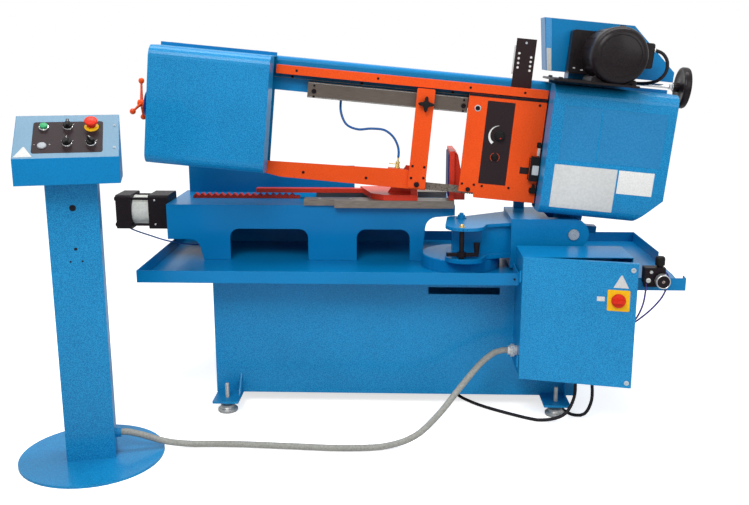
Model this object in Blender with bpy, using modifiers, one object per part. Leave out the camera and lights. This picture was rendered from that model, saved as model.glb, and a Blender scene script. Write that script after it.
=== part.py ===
"""Horizontal swivel-head band saw with a free-standing control pedestal.

Metres, +Z up.  Sizes are written in the machine's own datum: X to the right, Y to the back
from the front face of the base, Z up from the floor, with the saw head level.  The head's
empty then lifts it to its rest angle, and the root empty moves the whole machine so that
the origin is the centre of its footprint.
"""
import math

import bmesh
import bpy
from mathutils import Matrix, Vector

# ---------------------------------------------------------------- driving sizes
GAP = 0.0003                 # between two pieces that touch
SHEET = 0.003                # folded sheet of covers, tray and guards

BASE_X = (-0.605, 0.765)     # base cabinet, left and right
BASE_DEPTH = 0.56
BASE_Z = (0.045, 0.515)
BASE_WALL = 0.004
FOOT_PAD_RADIUS = 0.037
FOOT_STUD_RADIUS = 0.008
FOOT_CLEARANCE = 0.0005
BRACKET_THICK = 0.009

TRAY_X = (-0.845, 1.10)
TRAY_FRONT = -0.15
TRAY_BACK = 0.595
TRAY_LIP = 0.044
TRAY_WING_FRONT = -0.20      # the tray's front edge to the right of the cabinet

BED_X = (-0.82, 0.305)
BED_Y = (0.20, 0.56)
BED_TOP = 0.738
BED_WALL = 0.012
PLATE_TOP = 0.762            # wear plates that the work lies on
RACK_Y = (0.355, 0.385)
RACK_PITCH = 0.026
RACK_TEETH = 16
ROD_Y = 0.30
ROD_Z = 0.70
ROD_RADIUS = 0.0125
CYLINDER_SIDE = 0.135
CYLINDER_X = (-1.03, -0.8203)

SWING_AXIS = (0.327, 0.15)
DRUM_RADIUS = 0.150
DRUM_TOP = 0.567
ARM_TOP = 0.700
SWING_PIN_RADIUS = 0.0125
RUNNING = 0.0005             # clearance of a turning pin in its bore

LOCK_AT = (0.318, -0.028)
LOCK_RADIUS = 0.009

HEAD_AXIS = (0.735, 0.66)    # X and Z of the pin that the head tips on
HEAD_REST_ANGLE = 5.4        # degrees, left end up
SHAFT_RADIUS = 0.02
CHEEK_Y = ((0.045, 0.085), (0.270, 0.312))
CHEEK_RADIUS = 0.0565

WHEEL_RADIUS = 0.165
WHEEL_WIDTH = 0.030
WHEEL_Z = 0.957
IDLER_X = -0.635
DRIVE_X = 0.80
BLADE_Y = 0.15
BAND_SIDES = 32              # flats round a wheel, which the band follows
BLADE_WIDTH = 0.027
BLADE_THICK = 0.001
TOOTH_LINE = 0.7585          # lower edge of the blade between the guides
GUIDE_SLOT = 0.0024

HOUSING_Y = 0.170            # front face of the beam and of the wheel housings
IDLER_COVER_X = (-0.857, -0.423)
IDLER_COVER_Z = (0.775, 1.198)
DRIVE_COVER_X = (0.588, 1.026)
DRIVE_COVER_Z = (0.733, 1.198)
COVER_BEND = 0.040
HINGE_FORWARD = 0.001        # the upper cover hinge's pin stands this far before its back edge
BEAM_X = (-0.79, 0.98)
BEAM_Z = (1.075, 1.198)
BEAM_BACK = 0.280

PANEL_X = (0.299, 0.5855)
PANEL_Z = (0.750, 1.133)
PANEL_FRONT = 0.120
RAIL_X = (-0.297, 0.2985)
RAIL_Z = (1.059, 1.116)
RAIL_FRONT = 0.140
ARM_X = (0.107, 0.173)
ARM_FRONT = 0.111
ARM_Z = (0.764, 1.133)
ARM_TRAVEL = 0.20            # how far the left guide arm slides to the left
GUARD_X = (-0.445, 0.1745)

RISER_TOP = 1.239            # top of the block that carries the belt guard
TENSION_AT = (0.205, 0.972)  # Y and Z of the blade tension screw
COOLANT_AT = (ARM_X[0] - 0.045, ARM_FRONT + 0.026, 0.8693)

MOTOR_X = 0.777
MOTOR_PLATE_Z = DRIVE_COVER_Z[1] + 0.0125
MOTOR_Z = 1.313
MOTOR_RADIUS = 0.098
MOTOR_Y = (-0.10, 0.160)
HANDWHEEL_RADIUS = 0.0775
HANDWHEEL_Y = 0.29
HANDWHEEL_Z = 1.222

FEED_FOOT = (0.56, 0.736)    # X and Z of the feed cylinder's lower pin
FEED_EYE = (0.535, 1.06)     # X and Z of its upper pin, head level
FEED_Y = 0.31
FEED_RADIUS = 0.026
FEED_OPEN_CLEARANCE = 0.0085

CABINET_X = (0.52, 0.90)
CABINET_Y = (-0.185, -0.0005)
CABINET_Z = (0.19, 0.627)
CONNECTOR_AT = (CABINET_X[0] - 0.034, -0.11, 0.262)
DOOR_THICK = 0.018
DOOR_AJAR = 12.5             # degrees

PEDESTAL_AT = (-0.93, -0.47)
PEDESTAL_TURN = 15.0         # degrees, towards the operator
DISC_RADIUS = 0.235
COLUMN = (0.155, 0.10)
BOX_WIDTH = 0.305
BOX_Z = (0.935, 1.015, 1.128)
BOX_Y = (-0.135, 0.03)
START_AT = (-0.068, 0.040)   # along the panel and up its slope, from its centre
START_STEM = 0.011
STOP_AT = (0.071, 0.040)
STOP_STEM = 0.012


# ---------------------------------------------------------------- tools
def new_object(mesh, name="piece"):
    """Link a mesh to the parts collection and give its object back."""
    piece = bpy.data.objects.new(name, mesh)
    PARTS.objects.link(piece)
    return piece


def from_bmesh(shape):
    mesh = bpy.data.meshes.new("piece")
    bmesh.ops.recalc_face_normals(shape, faces=shape.faces)
    shape.to_mesh(mesh)
    shape.free()
    return new_object(mesh)


def box(xs, ys, zs):
    """A block between two values on each axis."""
    shape = bmesh.new()
    bmesh.ops.create_cube(shape, size=1.0)
    size = Vector((xs[1] - xs[0], ys[1] - ys[0], zs[1] - zs[0]))
    centre = Vector((sum(xs) / 2, sum(ys) / 2, sum(zs) / 2))
    bmesh.ops.scale(shape, vec=size, verts=shape.verts)
    bmesh.ops.translate(shape, vec=centre, verts=shape.verts)
    return from_bmesh(shape)


TURN_TO = {
    "X": Matrix(((0, 0, 1), (1, 0, 0), (0, 1, 0))).to_4x4(),
    "Y": Matrix(((1, 0, 0), (0, 0, -1), (0, 1, 0))).to_4x4(),
    "Z": Matrix.Identity(4),
}


def cylinder(axis, at, radius, span, sides=24, end_radius=None):
    """A round bar or cone along one axis; `at` is its centre on the two other axes."""
    shape = bmesh.new()
    far = radius if end_radius is None else end_radius
    bmesh.ops.create_cone(shape, cap_ends=True, segments=sides, radius1=radius,
                          radius2=far, depth=span[1] - span[0])
    middle = (span[0] + span[1]) / 2
    place = {"X": (middle, at[0], at[1]), "Y": (at[0], middle, at[1]),
             "Z": (at[0], at[1], middle)}[axis]
    turn = {"X": Matrix.Rotation(math.pi / 2, 4, "Y"),
            "Y": Matrix.Rotation(-math.pi / 2, 4, "X"), "Z": Matrix.Identity(4)}[axis]
    bmesh.ops.transform(shape, matrix=Matrix.Translation(place) @ turn, verts=shape.verts)
    return from_bmesh(shape)


def ball(at, radius):
    shape = bmesh.new()
    bmesh.ops.create_uvsphere(shape, u_segments=10, v_segments=6, radius=radius)
    bmesh.ops.translate(shape, vec=Vector(at), verts=shape.verts)
    return from_bmesh(shape)


def rounded(corners, steps=5):
    """An outline whose corners (a, b, radius) are rounded where the radius isn't nought."""
    points = []
    for index, (a, b, radius) in enumerate(corners):
        here = Vector((a, b))
        if radius <= 0:
            points.append(here)
            continue
        before = Vector(corners[index - 1][:2]) - here
        after = Vector(corners[(index + 1) % len(corners)][:2]) - here
        half = before.angle(after) / 2
        middle = here + (before.normalized() + after.normalized()).normalized() * (
            radius / math.sin(half))
        start = here + before.normalized() * (radius / math.tan(half)) - middle
        end = here + after.normalized() * (radius / math.tan(half)) - middle
        turn = start.angle_signed(end)
        for step in range(steps + 1):
            angle = -turn * step / steps
            points.append(middle + Matrix.Rotation(angle, 2) @ start)
    return points


def prism(axis, outline, span):
    """A flat outline as thick as `span`.  Along X it is (y, z), along Y (x, z), along Z (x, y)."""
    curve = bpy.data.curves.new("outline", "CURVE")
    curve.dimensions = "2D"
    curve.fill_mode = "BOTH"
    curve.extrude = (span[1] - span[0]) / 2
    spline = curve.splines.new("POLY")
    spline.points.add(len(outline) - 1)
    for point, (a, b) in zip(spline.points, outline):
        point.co = (a, b, 0, 1)
    spline.use_cyclic_u = True
    drawn = bpy.data.objects.new("outline", curve)
    PARTS.objects.link(drawn)
    middle = (span[0] + span[1]) / 2
    shift = {"X": (middle, 0, 0), "Y": (0, middle, 0), "Z": (0, 0, middle)}[axis]
    return as_mesh(drawn, Matrix.Translation(shift) @ TURN_TO[axis])


def as_mesh(drawn, matrix=None):
    """Turn a curve, or an object with modifiers, into a plain mesh object."""
    bpy.context.view_layer.update()
    mesh = bpy.data.meshes.new_from_object(drawn.evaluated_get(bpy.context.evaluated_depsgraph_get()))
    bpy.data.objects.remove(drawn)
    shape = bmesh.new()
    shape.from_mesh(mesh)
    bmesh.ops.remove_doubles(shape, verts=shape.verts, dist=0.00002)
    if matrix is not None:
        bmesh.ops.transform(shape, matrix=matrix, verts=shape.verts)
    return from_bmesh(shape)


def turned(axis, at, profile, sides=24):
    """A closed turned shape.  The profile is (radius, place along the axis), top to bottom."""
    shape = bmesh.new()
    points = [shape.verts.new((radius, 0, along)) for radius, along in profile]
    for first, second in zip(points, points[1:]):
        shape.edges.new((first, second))
    if profile[0][0] > 0 and profile[-1][0] > 0 and profile[0] != profile[-1]:
        shape.edges.new((points[-1], points[0]))
    mesh = bpy.data.meshes.new("profile")
    shape.to_mesh(mesh)
    shape.free()
    drawn = new_object(mesh)
    screw = drawn.modifiers.new("turn", "SCREW")
    screw.axis = "Z"
    screw.steps = sides
    screw.render_steps = sides
    screw.use_merge_vertices = True
    screw.merge_threshold = 0.00001
    place = {"X": (0, at[0], at[1]), "Y": (at[0], 0, at[1]), "Z": (at[0], at[1], 0)}[axis]
    turn = {"X": Matrix.Rotation(math.pi / 2, 4, "Y"),
            "Y": Matrix.Rotation(-math.pi / 2, 4, "X"), "Z": Matrix.Identity(4)}[axis]
    return as_mesh(drawn, Matrix.Translation(place) @ turn)


def tube(points, radius, resolution=2):
    """A round bar, pipe or cord along a list of points."""
    curve = bpy.data.curves.new("tube", "CURVE")
    curve.dimensions = "3D"
    curve.bevel_depth = radius
    curve.bevel_resolution = resolution
    curve.use_fill_caps = True
    spline = curve.splines.new("POLY")
    spline.points.add(len(points) - 1)
    for point, place in zip(spline.points, points):
        point.co = (*place, 1)
    drawn = bpy.data.objects.new("tube", curve)
    PARTS.objects.link(drawn)
    return as_mesh(drawn)


def smooth_route(points, spacing):
    """Points about `spacing` apart on a smooth curve, never lower than the route's lowest."""
    places = [Vector(point) for point in points]
    lowest = min(place.z for place in places)
    places = [places[0] * 2 - places[1]] + places + [places[-1] * 2 - places[-2]]
    route = []
    for before, first, second, after in zip(places, places[1:], places[2:], places[3:]):
        pieces = max(1, round((second - first).length / spacing))
        for piece in range(pieces):
            t = piece / pieces
            route.append(0.5 * (2 * first + (second - before) * t
                                + (2 * before - 5 * first + 4 * second - after) * t ** 2
                                + (3 * first - before - 3 * second + after) * t ** 3))
    route.append(places[-2])
    return [Vector((place.x, place.y, max(place.z, lowest))) for place in route]


def combine(body, others, operation):
    """Join others to the body, or cut them from it, and remove them."""
    for other in others:
        step = body.modifiers.new("combine", "BOOLEAN")
        step.operation = operation
        step.solver = "EXACT"
        step.object = other
    bpy.context.view_layer.update()
    graph = bpy.context.evaluated_depsgraph_get()
    mesh = bpy.data.meshes.new_from_object(body.evaluated_get(graph))
    body.modifiers.clear()
    body.data = mesh
    for other in others:
        bpy.data.objects.remove(other)
    return body


def fuse(body, *others):
    return combine(body, others, "UNION")


def cut(body, *others):
    return combine(body, others, "DIFFERENCE")


FINISH = {
    "blue": ((0.02, 0.20, 0.42, 1), 0.35, 0.0),
    "orange": ((0.80, 0.12, 0.02, 1), 0.35, 0.0),
    "red": ((0.70, 0.03, 0.02, 1), 0.40, 0.0),
    "black": ((0.015, 0.015, 0.018, 1), 0.45, 0.0),
    "steel": ((0.45, 0.44, 0.42, 1), 0.35, 1.0),
    "iron": ((0.16, 0.16, 0.17, 1), 0.55, 0.8),
    "rubber": ((0.02, 0.02, 0.02, 1), 0.80, 0.0),
    "white": ((0.75, 0.75, 0.72, 1), 0.40, 0.0),
    "yellow": ((0.80, 0.62, 0.02, 1), 0.45, 0.0),
    "green": ((0.05, 0.45, 0.25, 1), 0.40, 0.0),
    "brass": ((0.70, 0.50, 0.15, 1), 0.30, 1.0),
    "hose": ((0.02, 0.12, 0.45, 1), 0.40, 0.0),
    "conduit": ((0.30, 0.30, 0.29, 1), 0.55, 0.0),
}


def node(name, piece, colour, parent, pivot=None):
    """Name a piece, colour it, put its origin on `pivot` and hang it on its parent."""
    base = Vector(parent["datum"])
    origin = Vector(pivot) if pivot is not None else base
    piece.data.transform(Matrix.Translation(-origin))
    piece.location = origin - base
    piece.parent = parent
    piece.name = name
    piece.data.name = name
    rgba, roughness, metallic = FINISH[colour]
    material = bpy.data.materials.new(name + "_" + colour)
    material.use_nodes = True
    shader = material.node_tree.nodes["Principled BSDF"]
    shader.inputs["Base Color"].default_value = rgba
    shader.inputs["Roughness"].default_value = roughness
    shader.inputs["Metallic"].default_value = metallic
    material.diffuse_color = rgba
    piece.data.materials.clear()
    piece.data.materials.append(material)
    return piece


def axis_empty(name, datum, parent=None, axis="Z", angle=0.0):
    """An empty on a joint's axis.  Its datum is where it stands in the machine's own sizes."""
    empty = bpy.data.objects.new(name, None)
    PARTS.objects.link(empty)
    empty["datum"] = datum
    if parent is not None:
        empty.parent = parent
        empty.location = Vector(datum) - Vector(parent["datum"])
    empty.rotation_euler["XYZ".index(axis)] = math.radians(angle)
    return empty


# ---------------------------------------------------------------- base unit
def foot_places():
    """Centres of the four levelling feet."""
    left = BASE_X[0] + 0.055
    right = BASE_X[1] - 0.09
    return {"front_left": (left, -0.075), "front_right": (right, -0.075),
            "rear_left": (left, BASE_DEPTH + 0.075), "rear_right": (right, BASE_DEPTH + 0.075)}


def base_cabinet():
    """Welded base, open below, with a clean-out slot and four brackets for the feet."""
    body = box(BASE_X, (0, BASE_DEPTH), BASE_Z)
    inner = box((BASE_X[0] + BASE_WALL, BASE_X[1] - BASE_WALL),
                (BASE_WALL, BASE_DEPTH - BASE_WALL), (0, BASE_Z[1] - BASE_WALL))
    slot = box((0.20, 0.465), (-0.01, 0.02), (BASE_Z[1] - 0.075, BASE_Z[1] - 0.048))
    body = cut(body, inner, slot)
    holes = []
    brackets = []
    for x, y in foot_places().values():
        inside = 0.002 if y < 0 else BASE_DEPTH - 0.002
        reach = -0.122 if y < 0 else BASE_DEPTH + 0.122
        brackets.append(box((x - 0.048, x + 0.048), sorted((inside, reach)),
                            (BASE_Z[0], BASE_Z[0] + BRACKET_THICK)))
        side = [(inside, BASE_Z[0] + 0.004), (inside, BASE_Z[0] + 0.075),
                ((inside + reach) / 2, BASE_Z[0] + 0.004)]
        brackets.append(prism("X", side, (x + 0.038, x + 0.044)))
        holes.append(cylinder("Z", (x, y), FOOT_STUD_RADIUS + FOOT_CLEARANCE, (0, 0.1), 16))
    body = fuse(body, *brackets)
    return cut(body, *holes)


def levelling_foot(x, y):
    """Pad, stud and its two nuts, which hold the bracket between them."""
    low = BASE_Z[0] - GAP
    high = BASE_Z[0] + BRACKET_THICK + GAP
    stud = FOOT_STUD_RADIUS
    profile = [(0, high + 0.055), (stud, high + 0.055), (stud, high + 0.013), (0.015, high + 0.013),
               (0.015, high), (stud, high), (stud, low), (0.015, low), (0.015, low - 0.012),
               (FOOT_PAD_RADIUS - 0.008, 0.016), (FOOT_PAD_RADIUS, 0.011),
               (FOOT_PAD_RADIUS, 0), (0, 0)]
    return turned("Z", (x, y), profile, 12)


def tray_outline(inset):
    """The tray seen from above, cut back around the control cabinet."""
    left = TRAY_X[0] + inset
    right = TRAY_X[1] - inset
    back = TRAY_BACK - inset
    stop_left = CABINET_X[0] - 0.006 - inset
    stop_right = CABINET_X[1] + 0.006 + inset
    notch = 0.004 + inset
    return [(left, TRAY_FRONT + inset), (stop_left, TRAY_FRONT + inset), (stop_left, notch),
            (stop_right, notch), (stop_right, TRAY_WING_FRONT + inset),
            (right - 0.02, TRAY_WING_FRONT + inset), (right, TRAY_WING_FRONT + 0.22 + inset),
            (right, back), (left, back)]


def chip_tray():
    """Folded pan on top of the base; its right wall is cut away by the air regulator."""
    floor = BASE_Z[1] + GAP
    body = prism("Z", tray_outline(0), (floor, floor + TRAY_LIP))
    inner = prism("Z", tray_outline(SHEET), (floor + SHEET, floor + TRAY_LIP + 0.02))
    gap = box((TRAY_X[1] - 0.05, TRAY_X[1] + 0.05), (TRAY_WING_FRONT + 0.04, 0.21),
              (floor + SHEET, floor + TRAY_LIP + 0.02))
    return cut(body, inner, gap)


def tray_floor():
    return BASE_Z[1] + GAP + SHEET


def vise_bed():
    """Hollow bed with arched windows, a slot for the rack's stem and the guard behind."""
    low = tray_floor() + GAP
    left, right = BED_X
    outline = rounded([
        (left, BED_TOP, 0), (left, 0.60, 0), (-0.70, 0.60, 0.04), (-0.68, low, 0),
        (-0.573, low, 0), (-0.573, 0.643, 0.035), (-0.266, 0.643, 0.035), (-0.266, low, 0),
        (-0.076, low, 0), (-0.076, 0.643, 0.035), (0.131, 0.643, 0.035), (0.131, low, 0),
        (0.178, low, 0), (0.195, 0.690, 0.045), (right, 0.700, 0), (right, BED_TOP, 0)])
    front = prism("Y", outline, (BED_Y[0], BED_Y[0] + BED_WALL))
    behind = prism("Y", rounded([
        (left, BED_TOP, 0), (left, 0.60, 0), (-0.70, 0.60, 0.04), (-0.68, low, 0),
        (0.178, low, 0), (0.195, 0.690, 0.045), (right, 0.700, 0), (right, BED_TOP, 0)]),
        (BED_Y[1] - BED_WALL, BED_Y[1]))
    top = box((left, right), BED_Y, (BED_TOP - BED_WALL, BED_TOP))
    ends = [box((left, left + BED_WALL), BED_Y, (0.60, BED_TOP - 0.001)),
            box((right - BED_WALL, right), BED_Y, (0.700, BED_TOP - 0.001))]
    guard = box((-0.80, -0.10), (0.515, 0.519), (BED_TOP - 0.002, 0.852))
    body = fuse(top, front, behind, *ends, guard)
    rod_bore = cylinder("X", (ROD_Y, ROD_Z), ROD_RADIUS + RUNNING, (left - 0.02, left + 0.03), 16)
    slot = box((-0.605, -0.465), (RACK_Y[0] + 0.004, RACK_Y[1] - 0.004), (0.70, 0.80))
    return cut(body, rod_bore, slot)


def front_table_plate():
    """Wear plate whose front bar hangs over the bed's front face."""
    bar = box((-0.16, 0.30), (0.167, BED_Y[0] - GAP), (PLATE_TOP - 0.029, PLATE_TOP))
    strip = box((-0.28, 0.30), (0.19, 0.245), (BED_TOP + GAP, PLATE_TOP))
    return fuse(bar, strip)


def rear_table_plate():
    return box((-0.25, 0.28), (0.395, 0.470), (BED_TOP + GAP, PLATE_TOP))


def fixed_vise_jaw():
    """Face block with a sloping rib behind it, on the plates' right end."""
    face = box((0.280, 0.300), (0.186, 0.39), (PLATE_TOP + GAP, 0.950))
    rib = prism("Y", [(0.299, PLATE_TOP + GAP), (0.341, PLATE_TOP + GAP), (0.341, 0.79),
                      (0.313, 0.935), (0.299, 0.950)], (0.200, 0.375))
    return fuse(face, rib)


def movable_vise_jaw():
    """Low jaw block with the long tapered tail that hooks over the rack."""
    low = PLATE_TOP + GAP
    block = prism("Z", [(0.030, 0.172), (0.160, 0.172), (0.160, 0.40), (0.0, 0.40),
                        (-0.07, 0.392), (-0.02, 0.215)], (low, low + 0.022))
    face = box((0.132, 0.158), (0.176, 0.396), (low + 0.012, 0.845))
    rib = prism("Y", [(0.04, low + 0.016), (0.140, low + 0.016), (0.140, 0.885), (0.115, 0.890)],
                (0.235, 0.255))
    tail = prism("Z", [(-0.49, 0.352), (-0.49, 0.384), (0.03, 0.386), (0.03, 0.355)],
                 (low, low + 0.017))
    return fuse(block, face, rib, tail)


def vise_rack():
    """Toothed rack on the bed, its stem through the slot, and the piston rod below."""
    low = BED_TOP + GAP
    start = -0.75
    root = low + 0.010
    tip = low + 0.020
    outline = [(start, low)]
    outline.append((start + RACK_PITCH * RACK_TEETH + 0.02, low))
    outline.append((start + RACK_PITCH * RACK_TEETH + 0.02, root))
    for tooth in reversed(range(RACK_TEETH)):
        x = start + RACK_PITCH * tooth
        outline.append((x + RACK_PITCH * 0.95, root))
        outline.append((x + RACK_PITCH * 0.45, tip))
        outline.append((x + RACK_PITCH * 0.05, root if tooth else root - 0.001))
    bar = prism("Y", outline, RACK_Y)
    stem = box((-0.595, -0.525), (RACK_Y[0] + 0.005, RACK_Y[1] - 0.005), (ROD_Z - 0.01, low + 0.004))
    foot = box((-0.595, -0.525), (ROD_Y - 0.016, RACK_Y[1] - 0.005),
               (ROD_Z - 0.016, BED_TOP - BED_WALL - 0.0006))
    rod = cylinder("X", (ROD_Y, ROD_Z), ROD_RADIUS, (CYLINDER_X[0] + 0.075, -0.56), 16)
    piston = cylinder("X", (ROD_Y, ROD_Z), 0.0535, (CYLINDER_X[0] + 0.062, CYLINDER_X[0] + 0.077))
    return fuse(bar, stem, foot, rod, piston)


def vise_cylinder_cap(xs, bored):
    half = CYLINDER_SIDE / 2
    outline = rounded([(ROD_Y - half, ROD_Z - half, 0.008), (ROD_Y + half, ROD_Z - half, 0.008),
                       (ROD_Y + half, ROD_Z + half, 0.008), (ROD_Y - half, ROD_Z + half, 0.008)], 2)
    cap = prism("X", outline, xs)
    if bored:
        cap = cut(cap, cylinder("X", (ROD_Y, ROD_Z), ROD_RADIUS + RUNNING,
                                (xs[0] - 0.01, xs[1] + 0.01), 16))
    return cap


def vise_cylinder_barrel():
    """Barrel between the two end caps; one of its four tie rods shows at each corner."""
    near = CYLINDER_X[0] + 0.060 + GAP
    far = CYLINDER_X[1] - 0.080 - GAP
    barrel = cylinder("X", (ROD_Y, ROD_Z), 0.060, (near, far), 32)
    barrel = cut(barrel, cylinder("X", (ROD_Y, ROD_Z), 0.0540, (near - 0.01, far + 0.01), 32))
    rods = [cylinder("X", (ROD_Y + side * 0.0465, ROD_Z + up * 0.0465), 0.0065, (near, far), 8)
            for side in (-1, 1) for up in (-1, 1)]
    return fuse(barrel, *rods)


def swivel_drum():
    """Turned drum on the tray with the pin that the swing arm turns on."""
    low = tray_floor() + GAP
    pin = SWING_PIN_RADIUS
    top = ARM_TOP + GAP
    profile = [(0, top + 0.020), (0.008, top + 0.020), (0.008, top + 0.012), (0.014, top + 0.012),
               (0.014, top + 0.004), (0.020, top + 0.003), (0.020, top), (pin, top),
               (pin, DRUM_TOP), (DRUM_RADIUS - 0.003, DRUM_TOP), (DRUM_RADIUS, DRUM_TOP - 0.003),
               (DRUM_RADIUS, low), (0, low)]
    return turned("Z", SWING_AXIS, profile, 32)


def control_cabinet():
    """Electrical cabinet on the base's front, open to its door, with the mounting plate."""
    wall = 0.0025
    body = box(CABINET_X, CABINET_Y, CABINET_Z)
    inner = box((CABINET_X[0] + wall, CABINET_X[1] - wall), (CABINET_Y[0] - 0.01, CABINET_Y[1] - wall),
                (CABINET_Z[0] + wall, CABINET_Z[1] - wall))
    body = cut(body, inner)
    plate = box((CABINET_X[0] + 0.03, CABINET_X[1] - 0.03), (CABINET_Y[1] - 0.016, CABINET_Y[1] - 0.001),
                (CABINET_Z[0] + 0.03, CABINET_Z[1] - 0.03))
    gland = cylinder("Z", (0.80, -0.10), 0.014, (CABINET_Z[0] - 0.022, CABINET_Z[0] + 0.001), 12)
    second = cylinder("Z", (0.74, -0.10), 0.014, (CABINET_Z[0] - 0.022, CABINET_Z[0] + 0.001), 12)
    x = CABINET_X[0]
    profile = [(0, x + 0.001), (0.018, x + 0.001), (0.018, x - 0.010), (0.023, x - 0.012), (0.023, x - 0.022),
               (0.016, x - 0.024), (0.0155, CONNECTOR_AT[0]), (0, CONNECTOR_AT[0])]
    connector = turned("X", CONNECTOR_AT[1:], profile, 16)
    return fuse(body, plate, gland, second, connector)


def cabinet_door():
    """Folded door; it is drawn shut and its empty holds it ajar."""
    front = CABINET_Y[0] - GAP - DOOR_THICK
    body = box((CABINET_X[0] - 0.002, CABINET_X[1] + 0.002), (front, CABINET_Y[0] - GAP),
               (CABINET_Z[0] - 0.002, CABINET_Z[1] + 0.002))
    inner = box((CABINET_X[0], CABINET_X[1]), (front + 0.002, CABINET_Y[0] + 0.01),
                (CABINET_Z[0], CABINET_Z[1]))
    return cut(body, inner)


def air_regulator():
    """Filter regulator on the tray's right front lip: body, bowl, bonnet and bracket."""
    lip = TRAY_WING_FRONT - GAP
    body = box((0.925, 0.995), (lip - 0.045, lip - 0.006), (0.552, 0.606))
    plate = box((0.935, 0.985), (lip - 0.008, lip), (0.530, 0.560))
    neck = cylinder("Z", (0.979, lip - 0.026), 0.011, (0.600, 0.612), 12)
    near = lip - 0.044
    gauge = [(0, 0), (0.006, 0), (0.006, -0.011), (0.0225, -0.012), (0.0235, -0.034),
             (0.020, -0.036), (0, -0.034)]
    dial = turned("Y", (0.980, 0.5655), [(r, near + y) for r, y in gauge], 20)
    return fuse(body, plate, neck, dial)


def regulator_knob():
    lip = TRAY_WING_FRONT - GAP
    low = 0.612 + GAP
    return turned("Z", (0.979, lip - 0.026),
                  [(0, low + 0.030), (0.014, low + 0.030), (0.0165, low + 0.026), (0.0165, low), (0, low)], 16)


# ---------------------------------------------------------------- pedestal
def pedestal_stand(at):
    """Floor disc and the hollow column welded on it."""
    x, y = at
    half_w = COLUMN[0] / 2
    half_d = COLUMN[1] / 2
    disc = cylinder("Z", (x, y), DISC_RADIUS, (0, 0.008), 48)
    column = box((x - half_w, x + half_w), (y - half_d, y + half_d), (0.006, BOX_Z[0] - GAP))
    inner = box((x - half_w + SHEET, x + half_w - SHEET), (y - half_d + SHEET, y + half_d - SHEET),
                (0.020, BOX_Z[0] + 0.1))
    column = cut(column, inner)
    stand = fuse(disc, column)
    holes = []
    for dx, z, radius in ((0, 0.85, 0.010), (0, 0.72, 0.005), (-0.018, 0.68, 0.003), (0.018, 0.68, 0.003)):
        holes.append(cylinder("Y", (x + dx, z), radius, (y - half_d - 0.01, y - half_d + 0.01), 12))
    outlet = cylinder("X", (y, 0.075), 0.016, (x + half_w - 0.002, x + half_w + 0.018), 12)
    return fuse(cut(stand, *holes), outlet)


def pedestal_box(at):
    """Sloping control box; open below where it meets the column."""
    x, y = at
    profile = [(y + BOX_Y[0], BOX_Z[0]), (y + BOX_Y[1], BOX_Z[0]), (y + BOX_Y[1], BOX_Z[2]),
               (y + BOX_Y[0], BOX_Z[1])]
    body = prism("X", profile, (x - BOX_WIDTH / 2, x + BOX_WIDTH / 2))
    wall = SHEET
    inner = prism("X", [(y + BOX_Y[0] + wall, BOX_Z[0] + wall), (y + BOX_Y[1] - wall, BOX_Z[0] + wall),
                        (y + BOX_Y[1] - wall, BOX_Z[2] - wall * 1.9),
                        (y + BOX_Y[0] + wall, BOX_Z[1] - wall * 0.6)],
                  (x - BOX_WIDTH / 2 + wall, x + BOX_WIDTH / 2 - wall))
    mouth = box((x - 0.05, x + 0.05), (y - 0.03, y + 0.015), (BOX_Z[0] - 0.01, BOX_Z[0] + 0.01))
    tools = [inner, mouth]
    centre, slope = panel_place(at)
    for place, stem in ((START_AT, START_STEM), (STOP_AT, STOP_STEM)):
        bore = cylinder("Z", place, stem + RUNNING, (-0.02, 0.02), 20)
        bore.data.transform(Matrix.Translation(centre) @ Matrix.Rotation(math.radians(slope), 4, "X"))
        tools.append(bore)
    return cut(body, *tools)


def panel_place(at):
    """Centre of the sloping panel, and its slope in degrees."""
    x, y = at
    rise = BOX_Z[2] - BOX_Z[1]
    run = BOX_Y[1] - BOX_Y[0]
    centre = (x, y + sum(BOX_Y) / 2, (BOX_Z[1] + BOX_Z[2]) / 2)
    return centre, math.degrees(math.atan2(rise, run))


def panel_frame(at, parent):
    """An empty on the sloping panel: its Z is the panel's normal, its Y runs up the slope."""
    centre, slope = panel_place(at)
    return axis_empty("panel_axis", centre, parent, "X", slope)


def button(radius, stem, height):
    """A push button standing on the panel, drawn about the panel's own centre."""
    return [(0, height), (radius - 0.002, height), (radius, height - 0.002), (radius, height * 0.5),
            (stem, height * 0.5), (stem, GAP), (0, GAP)]


def selector():
    """Selector switch: round bezel and the bar that the fingers turn."""
    base = turned("Z", (0, 0), [(0, 0.010), (0.0135, 0.010), (0.0145, 0.008), (0.0145, GAP), (0, GAP)], 20)
    bar = box((-0.005, 0.005), (-0.0135, 0.0135), (0.008, 0.024))
    return fuse(base, bar)


def pedestal(root):
    """The whole pedestal stands turned a little about its own column."""
    turn = axis_empty("pedestal_turn", (PEDESTAL_AT[0], PEDESTAL_AT[1], 0), root, "Z", PEDESTAL_TURN)
    node("pedestal_stand", pedestal_stand(PEDESTAL_AT), "blue", turn)
    node("pedestal_box", pedestal_box(PEDESTAL_AT), "blue", turn)
    panel = panel_frame(PEDESTAL_AT, turn)
    datum = Vector(panel["datum"])

    def on_panel(name, piece, colour, along, up):
        piece.data.transform(Matrix.Translation(datum + Vector((along, up, 0))))
        node(name, piece, colour, panel, datum + Vector((along, up, 0)))

    middle = 0.002
    lower_row = -0.038
    on_panel("start_button", turned("Z", (0, 0), button(0.0145, START_STEM, 0.014), 20), "green",
             *START_AT)
    on_panel("feed_selector", selector(), "black", middle, START_AT[1])
    on_panel("emergency_stop", turned("Z", (0, 0), button(0.020, STOP_STEM, 0.032), 24), "red",
             *STOP_AT)
    on_panel("coolant_selector", selector(), "black", middle, lower_row)
    on_panel("vise_selector", selector(), "black", STOP_AT[0], lower_row)


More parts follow.
